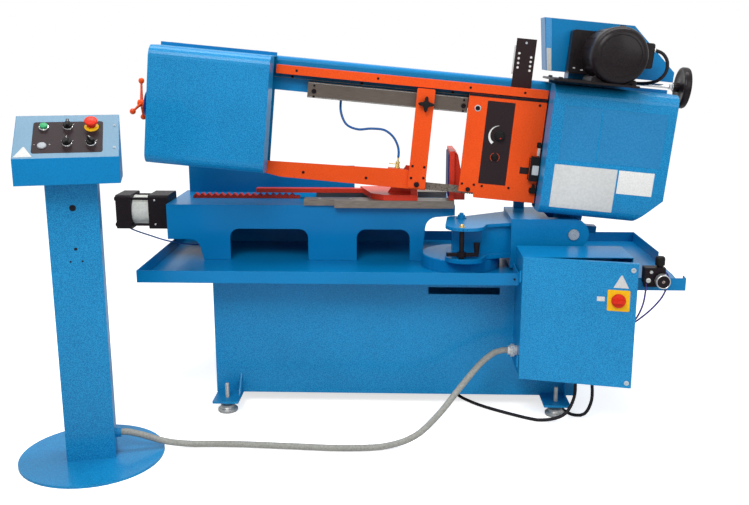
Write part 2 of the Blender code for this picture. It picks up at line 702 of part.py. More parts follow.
# ---------------------------------------------------------------- swing unit
def swing_frame():
    """Two plates on the drum, the web between them and the hollow yoke for the head."""
    px, py = SWING_AXIS
    nose_left, nose_front = px - 0.073, py - 0.203
    outline = rounded([(px + 0.02, py + 0.046, 0), (0.510, 0.305, 0), (0.510, 0.060, 0),
                       (px + 0.085, py - 0.120, 0.03), (px + 0.063, nose_front, 0.060),
                       (nose_left, nose_front, 0.066), (px - 0.052, py + 0.040, 0.03)], 5)
    top = prism("Z", outline, (ARM_TOP - 0.012, ARM_TOP))
    bottom = prism("Z", outline, (DRUM_TOP + GAP, DRUM_TOP + 0.016))
    web = prism("Z", [(px - 0.035, py - 0.045), (px - 0.035, py + 0.025), (px + 0.03, py + 0.038),
                      (0.512, 0.290), (0.512, 0.075), (px + 0.07, py - 0.105)],
                (DRUM_TOP + 0.010, ARM_TOP - 0.004))
    low = DRUM_TOP - 0.036
    crown = HEAD_AXIS[1] + CHEEK_RADIUS
    reach = HEAD_AXIS[0] + CHEEK_RADIUS
    column = prism("Y", rounded([(0.505, low, 0), (0.640, low, 0), (0.672, HEAD_AXIS[1] - CHEEK_RADIUS, 0),
                                 (reach, HEAD_AXIS[1] - CHEEK_RADIUS, CHEEK_RADIUS * 0.98),
                                 (reach, crown, CHEEK_RADIUS * 0.98), (0.505, crown, 0)], 7),
                   (CHEEK_Y[0][0], CHEEK_Y[1][1]))
    inside = (CHEEK_Y[0][1], CHEEK_Y[1][0])
    hollow = box((0.517, 0.655), inside, (low + 0.010, crown - 0.010))
    fork = box((0.645, reach + 0.05), inside, (low - 0.05, crown + 0.05))
    below = box((0.530, 0.650), (inside[0] + 0.012, inside[1] - 0.012), (low - 0.05, low + 0.02))
    body = fuse(cut(column, hollow, fork, below), top, bottom, web)
    lug = box((FEED_FOOT[0] - 0.020, FEED_FOOT[0] + 0.020), (FEED_Y - 0.035, FEED_Y - 0.0105),
              (crown - 0.006, FEED_FOOT[1] + 0.018))
    pin = cylinder("Y", FEED_FOOT, 0.008, (FEED_Y - 0.014, FEED_Y + 0.012), 14)
    body = fuse(body, lug, pin)
    bores = [cylinder("Z", SWING_AXIS, SWING_PIN_RADIUS + RUNNING, (0.5, 0.75), 20),
             cylinder("Y", HEAD_AXIS, SHAFT_RADIUS + RUNNING, (0.0, 0.4), 24),
             cylinder("Z", LOCK_AT, LOCK_RADIUS + RUNNING, (0.5, 0.75), 14)]
    return cut(body, *bores)


def swing_lock_lever():
    """Clamp screw through the arm's plates with its cross lever and grip."""
    x, y = LOCK_AT
    screw = cylinder("Z", LOCK_AT, LOCK_RADIUS, (DRUM_TOP + GAP, ARM_TOP - 0.002), 14)
    hub = cylinder("Z", LOCK_AT, 0.018, (0.590, 0.606), 14)
    lever = box((x - 0.055, x + 0.062), (y - 0.008, y + 0.008), (0.592, 0.604))
    grip = cylinder("Z", (x + 0.055, y), 0.009, (0.600, 0.642), 12, 0.012)
    return fuse(screw, hub, lever, grip)


def head_pivot_shaft():
    return cylinder("Y", HEAD_AXIS, SHAFT_RADIUS, (CHEEK_Y[0][0] - 0.006, CHEEK_Y[1][1] + 0.006), 24)


def feed_geometry():
    """Length and lean of the feed cylinder between its pins at the head's rest angle."""
    angle = math.radians(HEAD_REST_ANGLE)
    dx = FEED_EYE[0] - HEAD_AXIS[0]
    dz = FEED_EYE[1] - HEAD_AXIS[1]
    eye_x = HEAD_AXIS[0] + math.cos(angle) * dx + math.sin(angle) * dz
    eye_z = HEAD_AXIS[1] - math.sin(angle) * dx + math.cos(angle) * dz
    across = eye_x - FEED_FOOT[0]
    up = eye_z - FEED_FOOT[1]
    return math.hypot(across, up), math.degrees(math.atan2(across, up))


def feed_cylinder_barrel():
    """Barrel with its lower eye; drawn upright on the foot pin."""
    x, z = FEED_FOOT
    eye = cylinder("Y", FEED_FOOT, 0.017, (FEED_Y - 0.010, FEED_Y + 0.010), 18)
    barrel = cylinder("Z", (x, FEED_Y), FEED_RADIUS, (z + 0.040, z + 0.235), 24)
    neck = cylinder("Z", (x, FEED_Y), 0.009, (z + 0.012, z + 0.043), 12)
    body = fuse(eye, neck, barrel)
    bore = cylinder("Z", (x, FEED_Y), 0.0205, (z + 0.046, z + 0.225), 20)
    mouth = cylinder("Z", (x, FEED_Y), 0.0105, (z + 0.20, z + 0.25), 16)
    pin_bore = cylinder("Y", FEED_FOOT, 0.0085, (FEED_Y - 0.02, FEED_Y + 0.02), 14)
    return cut(body, bore, mouth, pin_bore)


def feed_cylinder_rod():
    """Rod with piston and the wide upper eye whose pivot is left open."""
    x, z = FEED_FOOT
    length = feed_geometry()[0]
    at_eye = (x, z + length)
    rod = cylinder("Z", (x, FEED_Y), 0.010, (z + 0.075, z + length - 0.020), 16)
    piston = cylinder("Z", (x, FEED_Y), 0.0200, (z + 0.067, z + 0.079), 20)
    eye = cylinder("Y", at_eye, 0.008 + FEED_OPEN_CLEARANCE + 0.008, (FEED_Y - 0.010, FEED_Y + 0.010), 24)
    bore = cylinder("Y", at_eye, 0.008 + FEED_OPEN_CLEARANCE, (FEED_Y - 0.02, FEED_Y + 0.02), 24)
    return cut(fuse(rod, piston, eye), bore)


# ---------------------------------------------------------------- saw head
def drive_outline(inset):
    """The drive housing seen from the front, with its cut lower right corner."""
    x0, x1 = DRIVE_COVER_X[0] + inset, DRIVE_COVER_X[1] - inset
    z0, z1 = DRIVE_COVER_Z[0] + inset, DRIVE_COVER_Z[1] - inset
    return [(x0, z0), (x1 - 0.092, z0), (x1, z0 + 0.088), (x1, z1), (x0, z1)]


def head_frame():
    """Beam, the two wheel housings' back plates, gearbox, stub shafts and the hinge bracket."""
    front = HOUSING_Y
    beam_outline = rounded([(front, BEAM_Z[0], 0), (BEAM_BACK, BEAM_Z[0], 0), (BEAM_BACK, BEAM_Z[1], 0.015),
                            (front, BEAM_Z[1], 0.015)], 4)
    beam = prism("X", beam_outline, BEAM_X)
    hollow = box((BEAM_X[0] - 0.01, BEAM_X[1] + 0.01), (front + 0.008, BEAM_BACK - 0.008),
                 (BEAM_Z[0] + 0.008, BEAM_Z[1] - 0.008))
    beam = cut(beam, hollow)
    rise = 0.012
    idler_plate = box(IDLER_COVER_X, (front, front + 0.007), (IDLER_COVER_Z[0], IDLER_COVER_Z[1] + rise))
    drive_plate = prism("Y", drive_outline(0), (front, front + 0.007))
    drive_top = box(DRIVE_COVER_X, (front, front + 0.007), (DRIVE_COVER_Z[1] - 0.01, DRIVE_COVER_Z[1] + rise))
    gearbox = box((DRIVE_X - 0.105, DRIVE_X + 0.115), (front + 0.005, 0.305), (0.865, BEAM_Z[0] + 0.01))
    idler_block = box((IDLER_X - 0.06, IDLER_X + 0.06), (front + 0.005, 0.235), (0.90, BEAM_Z[0] + 0.01))
    bracket = prism("Y", [(0.688, 0.640), (0.782, 0.640), (0.80, 0.88), (0.70, 0.88)], (0.186, 0.250))
    link = box((0.70, 0.79), (front + 0.005, 0.190), (0.775, 0.88))
    boss = cylinder("Y", HEAD_AXIS, 0.047, (CHEEK_Y[0][1] + 0.004, CHEEK_Y[1][0] - 0.004), 28)
    stop = box((0.77, 0.850), (0.195, 0.240), (0.645, 0.672))
    riser = box((0.66, 0.86), (0.195, 0.275), (BEAM_Z[1] - 0.004, RISER_TOP))
    bearing = box((0.850, 0.885), (HANDWHEEL_Y - 0.060, HANDWHEEL_Y + 0.016),
                  (BEAM_Z[1] - 0.02, HANDWHEEL_Z + 0.016))
    shafts = [cylinder("Y", (x, WHEEL_Z), 0.0195, (BLADE_Y - 0.014, front + 0.003), 20)
              for x in (IDLER_X, DRIVE_X)]
    lugs = [box((FEED_EYE[0] - 0.022, FEED_EYE[0] + 0.022), span, (FEED_EYE[1] - 0.010, 1.120))
            for span in ((BEAM_BACK - 0.001, FEED_Y - 0.012), (FEED_Y + 0.012, FEED_Y + 0.024))]
    tie = box((FEED_EYE[0] - 0.022, FEED_EYE[0] + 0.022), (BEAM_BACK - 0.002, FEED_Y + 0.024), (1.105, 1.125))
    pin = cylinder("Y", FEED_EYE, 0.008, (FEED_Y - 0.020, FEED_Y + 0.020), 14)
    body = fuse(beam, idler_plate, drive_plate, drive_top, gearbox, idler_block, bracket, link, boss,
                stop, riser, bearing, *shafts, *lugs, tie, pin)
    shaft_bore = cylinder("Y", HEAD_AXIS, SHAFT_RADIUS + RUNNING, (0.0, 0.4), 24)
    wheel_rod_bore = cylinder("X", (HANDWHEEL_Y, HANDWHEEL_Z), 0.0085, (0.83, 0.90), 14)
    tension_bore = cylinder("X", TENSION_AT, 0.0105, (-0.8, -0.66), 14)
    return cut(body, shaft_bore, wheel_rod_bore, tension_bore)


def band_wheel(x):
    """Flanged band wheel with a thin web, a hub and its bore."""
    near = BLADE_Y - WHEEL_WIDTH / 2
    far = BLADE_Y + WHEEL_WIDTH / 2
    rim = WHEEL_RADIUS
    profile = [(0.020, near), (0.035, near), (0.037, near + 0.010), (rim - 0.014, near + 0.010),
               (rim - 0.012, near), (rim, near), (rim, far), (rim - 0.012, far),
               (rim - 0.014, far - 0.010), (0.037, far - 0.010), (0.035, far), (0.020, far)]
    wheel = turned("Y", (x, WHEEL_Z), profile, BAND_SIDES)
    centre = Matrix.Translation((x, 0, WHEEL_Z))
    half_flat = Matrix.Rotation(math.pi / BAND_SIDES, 4, "Y")
    wheel.data.transform(centre @ half_flat @ centre.inverted())
    return wheel


def band_blade():
    """Endless band: flat on the wheels, turned on edge wherever the two guides can stand.

    Its flats clear the wheels' corners, so the wheels turn inside it.
    """
    reach = (WHEEL_RADIUS + 0.0002) / math.cos(math.pi / BAND_SIDES) + BLADE_THICK / 2
    middle = TOOTH_LINE + BLADE_WIDTH / 2
    twist_left = (IDLER_X + 0.10, ARM_X[0] - ARM_TRAVEL - 0.01)
    twist_right = (PANEL_X[0] + 0.07, DRIVE_X - 0.06)
    rings = []

    def ring(x, z, out_x, out_z, turn):
        """Four corners of the band's section; `turn` runs from flat (0) to on edge (1)."""
        angle = turn * math.pi / 2
        wide = Vector((0, math.cos(angle), math.sin(angle)))
        thin = Vector((out_x * math.cos(angle), math.sin(angle), out_z * math.cos(angle)))
        centre = Vector((x, BLADE_Y, z))
        corners = []
        for side, skin in ((-1, -1), (1, -1), (1, 1), (-1, 1)):
            corners.append(centre + wide * (side * BLADE_WIDTH / 2) + thin * (skin * BLADE_THICK / 2))
        rings.append(corners)

    steps = BAND_SIDES // 2
    for step in range(steps + 1):
        angle = math.pi / 2 - math.pi * step / steps
        ring(DRIVE_X + math.cos(angle) * reach, WHEEL_Z + math.sin(angle) * reach,
             math.cos(angle), math.sin(angle), 0)
    low = WHEEL_Z - reach
    stretch = [twist_right[1] + (twist_right[0] - twist_right[1]) * t / 8 for t in range(9)]
    for x in stretch:
        t = (twist_right[1] - x) / (twist_right[1] - twist_right[0])
        ring(x, low + (middle - low) * t, 0, -1, t * t * (3 - 2 * t))
    stretch = [twist_left[1] + (twist_left[0] - twist_left[1]) * t / 8 for t in range(9)]
    for x in stretch:
        t = (x - twist_left[0]) / (twist_left[1] - twist_left[0])
        ring(x, low + (middle - low) * t, 0, -1, t * t * (3 - 2 * t))
    for step in range(steps + 1):
        angle = -math.pi / 2 - math.pi * step / steps
        ring(IDLER_X + math.cos(angle) * reach, WHEEL_Z + math.sin(angle) * reach,
             math.cos(angle), math.sin(angle), 0)
    shape = bmesh.new()
    verts = [[shape.verts.new(corner) for corner in corners] for corners in rings]
    for first, second in zip(verts, verts[1:] + verts[:1]):
        for corner in range(4):
            beside = (corner + 1) % 4
            shape.faces.new((first[corner], first[beside], second[beside], second[corner]))
    bmesh.ops.triangulate(shape, faces=shape.faces)
    return from_bmesh(shape)


def cover_shell(xs, zs, side_cut, chamfered):
    """Folded wheel cover, open at the back; `side_cut` is the side the blade passes."""
    back = HOUSING_Y - GAP
    outline = rounded([(back, zs[0], 0), (back, zs[1], 0), (0, zs[1], COVER_BEND), (0, zs[0], COVER_BEND)], 6)
    body = prism("X", outline, xs)
    t = SHEET
    inner_outline = rounded([(back + 0.02, zs[0] + t, 0), (back + 0.02, zs[1] - t, 0),
                             (t, zs[1] - t, COVER_BEND - t), (t, zs[0] + t, COVER_BEND - t)], 6)
    inner = prism("X", inner_outline, (xs[0] + t, xs[1] - t))
    tools = [inner]
    edge = xs[1] if side_cut > 0 else xs[0]
    tools.append(box((edge - 0.01, edge + 0.01), (0.105, back + 0.02), (zs[0] + t, zs[1] - t)))
    if not chamfered:
        tools.append(box((xs[1] - 0.27, xs[1] + 0.01), (0.112, back + 0.02), (zs[0] - 0.01, zs[0] + 0.01)))
    if chamfered:
        corner = prism("Y", [(xs[1] - 0.092, zs[0] - 0.01), (xs[1] - 0.092, zs[0]), (xs[1], zs[0] + 0.088),
                             (xs[1] + 0.01, zs[0] + 0.088), (xs[1] + 0.01, zs[0] - 0.01)], (-0.01, 0.2))
        body = cut(body, corner)
        block = cut(prism("X", inner_outline, (xs[0] + t, xs[1] - t)),
                    prism("Y", [(xs[1] - 0.092 - t, zs[0] - 0.02), (xs[1] - 0.092 - t, zs[0] + t),
                                (xs[1] - t, zs[0] + 0.088 + t), (xs[1] + 0.02, zs[0] + 0.088 + t),
                                (xs[1] + 0.02, zs[0] - 0.02)], (-0.01, 0.3)))
        bpy.data.objects.remove(tools[0])
        tools[0] = block
    return cut(body, *tools)


def head_control_box():
    """Orange guard and panel that also carries the fixed blade guide."""
    x0, x1 = PANEL_X
    z0, z1 = PANEL_Z
    front = PANEL_FRONT
    outline = [(x0, z1), (x0, z0 + 0.018), (x0 + 0.055, z0 + 0.018), (x0 + 0.058, z0), (x1, z0), (x1, z1)]
    plate = prism("Y", outline, (front, front + SHEET))
    rims = [box((x0, x0 + SHEET), (front, front + 0.013), (z0 + 0.018, z1)),
            box((x1 - SHEET, x1), (front, front + 0.013), (z0, z1)),
            box((x0, x1), (front, front + 0.013), (z1 - SHEET, z1))]
    block = box((x0 + 0.035, x1 - 0.03), (front + 0.001, HOUSING_Y - GAP), (1.080, 1.112))
    guide = box((x0 + 0.006, x0 + 0.050), (front + 0.001, BLADE_Y + 0.0150), (z0 + 0.022, 0.835))
    interlock = box((0.548, 0.580), (front - 0.026, front + 0.001), (0.835, 0.925))
    body = fuse(plate, *rims, block, guide, interlock)
    slot = box((x0 - 0.01, x0 + 0.07), (BLADE_Y - GUIDE_SLOT / 2, BLADE_Y + GUIDE_SLOT / 2),
               (z0 - 0.01, TOOTH_LINE + BLADE_WIDTH + 0.001))
    return cut(body, slot)


def guide_rail():
    return box(RAIL_X, (RAIL_FRONT, HOUSING_Y - GAP), RAIL_Z)


def upper_blade_guard():
    """Orange angle in front of and above the upper run of the blade."""
    x0, x1 = IDLER_COVER_X[1] + 0.008, DRIVE_COVER_X[0] - 0.003
    top = BEAM_Z[1] - 0.030
    front = box((x0, x1), (PANEL_FRONT - 0.002, PANEL_FRONT + 0.001), (PANEL_Z[1] + 0.004, top))
    shelf = box((x0, x1), (PANEL_FRONT - 0.002, HOUSING_Y - GAP), (top - 0.003, top))
    return fuse(front, shelf)


def left_guide_arm():
    """Sliding arm: flat plate, its block on the rail and the slotted blade guide."""
    x0, x1 = ARM_X
    z0, z1 = ARM_Z
    plate = prism("Y", rounded([(x0, z1, 0.004), (x0, z0, 0.006), (x1, z0, 0.006), (x1, z1, 0.004)], 2),
                  (ARM_FRONT, ARM_FRONT + 0.0125))
    block = box((x0 + 0.004, x1 - 0.004), (ARM_FRONT + 0.012, RAIL_FRONT - GAP), (1.040, 1.112))
    hook = box((x0 + 0.004, x1 - 0.004), (ARM_FRONT + 0.013, HOUSING_Y - 0.012), (1.040, RAIL_Z[0] - GAP))
    guide = box((x0 + 0.010, x1 - 0.010), (ARM_FRONT + 0.017, BLADE_Y + 0.0150), (z0 + 0.008, 0.806))
    neck = box((x0 + 0.010, x1 - 0.010), (ARM_FRONT + 0.012, BLADE_Y + 0.0150), (0.832, 0.850))
    post = box((x0 + 0.010, x1 - 0.010), (BLADE_Y + 0.0030, BLADE_Y + 0.0150), (0.80, 0.835))
    body = fuse(plate, block, hook, guide, neck, post)
    slot = box((x0 - 0.01, x1 + 0.01), (BLADE_Y - GUIDE_SLOT / 2, BLADE_Y + GUIDE_SLOT / 2),
               (z0 - 0.02, TOOTH_LINE + BLADE_WIDTH + 0.001))
    return cut(body, slot)


def lower_blade_guard():
    """Orange channel over the lower run, which slides with the left guide arm."""
    near = ARM_FRONT + 0.0125 + GAP
    x0, x1 = GUARD_X
    outline = rounded([(x0, 0.811, 0.012), (x0, 0.768, 0.012), (x0 + 0.07, 0.756, 0), (x1, 0.758, 0),
                       (x1, 0.800, 0), (ARM_X[0] - 0.01, 0.829, 0.004)], 3)
    plate = prism("Y", outline, (near, near + SHEET))
    tab = box((ARM_X[0] - 0.080, ARM_X[0] - 0.020), (near, near + 0.030), (0.824, 0.829))
    return fuse(plate, tab)


def guide_arm_knob():
    """Star knob with its clamping stud against the arm."""
    far = ARM_FRONT - GAP
    hub = cylinder("Y", (0.144, 1.078), 0.011, (far - 0.024, far), 14)
    arms = [box((0.144 - 0.022, 0.144 + 0.022), (far - 0.024, far - 0.010), (1.078 - 0.005, 1.078 + 0.005)),
            box((0.144 - 0.005, 0.144 + 0.005), (far - 0.024, far - 0.010), (1.078 - 0.022, 1.078 + 0.022))]
    return fuse(hub, *arms)


def coolant_valve():
    """Brass tap on the lower guard's tab, with the hose spigot above."""
    low = 0.829 + GAP
    at = COOLANT_AT[:2]
    body = turned("Z", at, [(0, low + 0.040), (0.0035, low + 0.040), (0.0035, low + 0.026),
                            (0.008, low + 0.024), (0.008, low + 0.006), (0.010, low + 0.004), (0.010, low),
                            (0, low)], 12)
    lever = box((at[0] - 0.032, at[0]), (at[1] - 0.004, at[1] + 0.004), (low + 0.013, low + 0.018))
    return fuse(body, lever)


def belt_guard():
    """Open-backed cover over the belt, behind the motor."""
    z0 = RISER_TOP + GAP
    outline = [(0.575, z0), (0.545, 1.428), (0.875, 1.428), (1.045, 1.275), (1.045, z0)]
    body = prism("Y", outline, (0.185, 0.290))
    inner = [(0.578, z0 + 0.003), (0.5485, 1.425), (0.874, 1.425), (1.042, 1.2737), (1.042, z0 + 0.003)]
    return cut(body, prism("Y", inner, (0.188, 0.30)))


def drive_motor():
    """Motor with its square flange, terminal box and the plate that it stands on."""
    at = (MOTOR_X, MOTOR_Z)
    r = MOTOR_RADIUS
    y0, y1 = MOTOR_Y
    profile = [(0, y0), (r - 0.030, y0), (r - 0.006, y0 + 0.012), (r, y0 + 0.030), (r, y1 - 0.02),
               (r - 0.02, y1), (0, y1)]
    body = turned("Y", at, profile, 32)
    flange = box((MOTOR_X - 0.135, MOTOR_X - 0.02), (0.110, 0.170), (MOTOR_Z - 0.075, MOTOR_Z + 0.080))
    terminals = box((MOTOR_X + 0.085, MOTOR_X + 0.135), (0.0, 0.11), (MOTOR_Z - 0.035, MOTOR_Z + 0.055))
    plate = box((0.565, 0.860), (-0.085, HOUSING_Y + 0.019), (MOTOR_PLATE_Z, MOTOR_PLATE_Z + 0.008))
    foot = box((MOTOR_X - 0.08, MOTOR_X + 0.08), (-0.05, 0.12), (MOTOR_PLATE_Z + 0.004, MOTOR_Z - r + 0.02))
    return fuse(body, flange, terminals, plate, foot)


def speed_scale_plate():
    return box((0.452, 0.525), (HOUSING_Y - GAP - 0.0035, HOUSING_Y - GAP), (BEAM_Z[1] - 0.0297, 1.345))


def speed_handwheel():
    """Handwheel on its long rod, which turns in the bearing block."""
    r = HANDWHEEL_RADIUS
    x = 1.100
    profile = [(0, x + 0.030), (r - 0.006, x + 0.030), (r, x + 0.024), (r, x + 0.006), (r - 0.006, x),
               (0.018, x), (0.016, x - 0.020), (0.0075, x - 0.022), (0.0075, 0.8865), (0, 0.8865)]
    profile = profile[:-2] + [(0.0075, 0.862), (0, 0.862)]
    return turned("X", (HANDWHEEL_Y, HANDWHEEL_Z), profile, 32)


def tension_handle():
    """Three-armed tension handle, its spring plate and the screw into the idler block."""
    y, z = TENSION_AT
    x = -0.905
    screw_end = IDLER_X - 0.060 + 0.03
    profile = [(0, screw_end), (0.010, screw_end), (0.010, x + 0.012), (0.052, x + 0.008), (0.056, x),
               (0.050, x - 0.006), (0.015, x - 0.010), (0.015, x - 0.040), (0, x - 0.040)]
    body = turned("X", (y, z), profile, 24)
    pieces = [body]
    for angle in (78, 198, 318):
        lean = math.radians(angle)
        tip = (x - 0.035, y + math.cos(lean) * 0.085, z + math.sin(lean) * 0.085)
        pieces.append(tube([(x - 0.026, y, z), tip], 0.006, 1))
        pieces.append(ball(tip, 0.0115))
    return fuse(*pieces)


# ---------------------------------------------------------------- cords
CONTROL_CONDUIT_ROUTE = [
    (-0.83746, -0.4452, 0.075), (-0.820, -0.4405, 0.0745), (-0.770, -0.428, 0.057),
    (-0.695, -0.412, 0.027), (-0.60, -0.398, 0.0125), (-0.46, -0.395, 0.0125),
    (-0.28, -0.405, 0.0125), (-0.10, -0.415, 0.0125), (0.04, -0.400, 0.013),
    (0.15, -0.350, 0.030), (0.235, -0.285, 0.085), (0.31, -0.215, 0.155), (0.385, -0.150, 0.222),
    (0.44, -0.116, 0.255), (0.470, -0.110, 0.262), (CONNECTOR_AT[0] - GAP, -0.110, 0.262)]
CONTROL_CONDUIT_RADIUS = 0.011
PUMP_CABLE_ROUTE = [
    (0.74, -0.10, 0.1677), (0.74, -0.10, 0.150), (0.733, -0.125, 0.085), (0.69, -0.155, 0.030),
    (0.60, -0.145, 0.0065), (0.49, -0.08, 0.0065), (0.40, -0.01, 0.0065), (0.34, 0.06, 0.0065),
    (0.30, 0.13, 0.012)]
HEAD_CABLE_ROUTE = [
    (0.80, -0.10, 0.1677), (0.80, -0.10, 0.150), (0.80, -0.115, 0.075), (0.775, -0.12, 0.022),
    (0.735, -0.09, 0.0065), (0.71, -0.04, 0.0065), (0.70, 0.04, 0.0065), (0.69, 0.10, 0.010)]
CABLE_RADIUS = 0.006
AIR_IN_ROUTE = [
    (0.938, -0.222, 0.5517), (0.938, -0.222, 0.52), (0.934, -0.216, 0.47), (0.924, -0.195, 0.42),
    (0.913, -0.165, 0.385), (0.9058, -0.15, 0.372)]
AIR_OUT_ROUTE = [
    (0.9953, -0.222, 0.585), (1.004, -0.222, 0.584), (1.014, -0.219, 0.560), (1.004, -0.205, 0.50),
    (0.975, -0.175, 0.44), (0.935, -0.140, 0.385), (0.9058, -0.125, 0.360)]
AIR_HOSE_RADIUS = 0.003
VISE_AIR_ROUTE = [
    (-1.00, 0.30, 0.6322), (-1.00, 0.30, 0.624), (-0.975, 0.300, 0.612), (-0.92, 0.285, 0.598),
    (-0.84, 0.262, 0.580), (-0.76, 0.250, 0.570), (-0.70, 0.245, 0.568), (-0.665, 0.24, 0.572)]
COOLANT_HOSE_ROUTE = [
    (-0.175, 0.205, 1.0747), (-0.175, 0.205, 1.060), (-0.170, 0.185, 1.015), (-0.145, 0.168, 0.972),
    (-0.10, 0.155, 0.958), (-0.05, 0.148, 0.966), (0.0, 0.142, 0.966), (0.035, 0.138, 0.945),
    (0.055, 0.137, 0.915), (COOLANT_AT[0], COOLANT_AT[1], 0.8885),
    (COOLANT_AT[0], COOLANT_AT[1], COOLANT_AT[2] + GAP)]
COOLANT_HOSE_RADIUS = 0.0045
MOTOR_CONDUIT_ROUTE = [
    (0.9123, 0.050, 1.345), (0.926, 0.050, 1.345), (0.955, 0.049, 1.335), (0.974, 0.047, 1.308),
    (0.974, 0.048, 1.272), (0.957, 0.058, 1.245), (0.938, 0.090, 1.232), (0.920, 0.140, 1.226),
    (0.903, 0.190, 1.224), (0.880, 0.213, 1.224), (0.8603, 0.213, 1.224)]
MOTOR_CONDUIT_RADIUS = 0.006


def cords(root, head):
    """Free cords, each a plain tube at its real length and place."""
    node("control_conduit", tube(smooth_route(CONTROL_CONDUIT_ROUTE, 0.05), CONTROL_CONDUIT_RADIUS),
         "conduit", root)
    node("pump_cable", tube(smooth_route(PUMP_CABLE_ROUTE, 0.03), CABLE_RADIUS), "black", root)
    node("head_cable", tube(smooth_route(HEAD_CABLE_ROUTE, 0.03), CABLE_RADIUS), "black", root)
    node("air_hose_inlet", tube(smooth_route(AIR_IN_ROUTE, 0.02), AIR_HOSE_RADIUS), "hose", root)
    node("air_hose_outlet", tube(smooth_route(AIR_OUT_ROUTE, 0.02), AIR_HOSE_RADIUS), "hose", root)
    node("vise_air_line", tube(smooth_route(VISE_AIR_ROUTE, 0.025), AIR_HOSE_RADIUS), "hose", root)
    node("coolant_hose", tube(smooth_route(COOLANT_HOSE_ROUTE, 0.018), COOLANT_HOSE_RADIUS), "hose", head)
    node("motor_conduit", tube(smooth_route(MOTOR_CONDUIT_ROUTE, 0.022), MOTOR_CONDUIT_RADIUS), "black", head)


# ---------------------------------------------------------------- build
def base_unit(root):
    node("base_cabinet", base_cabinet(), "blue", root)
    for place, (x, y) in foot_places().items():
        node("levelling_foot_" + place, levelling_foot(x, y), "iron", root, (x, y, 0))
    node("chip_tray", chip_tray(), "blue", root)
    node("swivel_drum", swivel_drum(), "blue", root)
    node("control_cabinet", control_cabinet(), "blue", root)
    node("air_regulator", air_regulator(), "black", root)
    node("regulator_knob", regulator_knob(), "black", root,
         (0.979, TRAY_WING_FRONT - GAP - 0.026, 0.612))
    hinge = (CABINET_X[0] - 0.002, CABINET_Y[0] - GAP - DOOR_THICK, 0)
    door = axis_empty("door_axis", hinge, root, "Z", -DOOR_AJAR)
    node("cabinet_door", cabinet_door(), "blue", door)
    face = CABINET_Y[0] - GAP - DOOR_THICK
    switch = (0.843, face, 0.498)
    near = face - GAP
    profile = [(0, near - 0.016), (0.020, near - 0.016), (0.0235, near - 0.010), (0.0235, near), (0, near)]
    knob = fuse(turned("Y", (switch[0], switch[2]), profile, 24),
                box((switch[0] - 0.023, switch[0] + 0.023), (near - 0.030, near - 0.010),
                    (switch[2] - 0.006, switch[2] + 0.006)))
    node("main_switch_knob", knob, "red", door, switch)


def vise_unit(root):
    node("vise_bed", vise_bed(), "blue", root)
    node("front_table_plate", front_table_plate(), "steel", root)
    node("rear_table_plate", rear_table_plate(), "steel", root)
    node("fixed_vise_jaw", fixed_vise_jaw(), "red", root)
    node("movable_vise_jaw", movable_vise_jaw(), "red", root)
    node("vise_rack", vise_rack(), "red", root)
    rear = (CYLINDER_X[0], CYLINDER_X[0] + 0.060)
    front = (CYLINDER_X[1] - 0.080, CYLINDER_X[1])
    node("vise_cylinder_rear_cap", vise_cylinder_cap(rear, False), "black", root)
    node("vise_cylinder_front_cap", vise_cylinder_cap(front, True), "black", root)
    node("vise_cylinder_barrel", vise_cylinder_barrel(), "white", root)


def swing_unit(swing):
    node("swing_frame", swing_frame(), "blue", swing)
    node("swing_lock_lever", swing_lock_lever(), "black", swing, (*LOCK_AT, 0.598))
    node("head_pivot_shaft", head_pivot_shaft(), "steel", swing)
    lean = feed_geometry()[1]
    feed = axis_empty("feed_axis", (FEED_FOOT[0], FEED_Y, FEED_FOOT[1]), swing, "Y", lean)
    node("feed_cylinder_barrel", feed_cylinder_barrel(), "black", feed)
    node("feed_cylinder_rod", feed_cylinder_rod(), "steel", feed)


def head_unit(head):
    node("head_frame", head_frame(), "blue", head)
    node("band_blade", band_blade(), "steel", head)
    node("idler_wheel", band_wheel(IDLER_X), "iron", head, (IDLER_X, BLADE_Y, WHEEL_Z))
    node("drive_wheel", band_wheel(DRIVE_X), "iron", head, (DRIVE_X, BLADE_Y, WHEEL_Z))
    node("idler_cover", cover_shell(IDLER_COVER_X, IDLER_COVER_Z, 1, False), "blue", head,
         (0, HOUSING_Y - HINGE_FORWARD, IDLER_COVER_Z[1]))
    node("drive_cover", cover_shell(DRIVE_COVER_X, DRIVE_COVER_Z, -1, True), "blue", head,
         (DRIVE_COVER_X[1], HOUSING_Y, 0))
    node("head_control_box", head_control_box(), "orange", head)
    node("guide_rail", guide_rail(), "steel", head)
    node("upper_blade_guard", upper_blade_guard(), "orange", head)
    node("left_guide_arm", left_guide_arm(), "orange", head)
    node("lower_blade_guard", lower_blade_guard(), "orange", head)
    node("guide_arm_knob", guide_arm_knob(), "black", head, (0.144, ARM_FRONT, 1.078))
    node("coolant_valve", coolant_valve(), "brass", head)
    node("belt_guard", belt_guard(), "blue", head)
    node("drive_motor", drive_motor(), "black", head)
    node("speed_scale_plate", speed_scale_plate(), "black", head)
    node("speed_handwheel", speed_handwheel(), "black", head, (1.1, HANDWHEEL_Y, HANDWHEEL_Z))
    node("tension_handle", tension_handle(), "orange", head, (-0.905, *TENSION_AT))
    front = PANEL_FRONT - GAP
    dial = turned("Y", (0.427, 0.987), [(0, front - 0.020), (0.014, front - 0.020), (0.016, front - 0.004),
                                        (0.021, front - 0.003), (0.021, front), (0, front)], 24)
    node("feed_rate_knob", dial, "black", head, (0.427, PANEL_FRONT, 0.987))


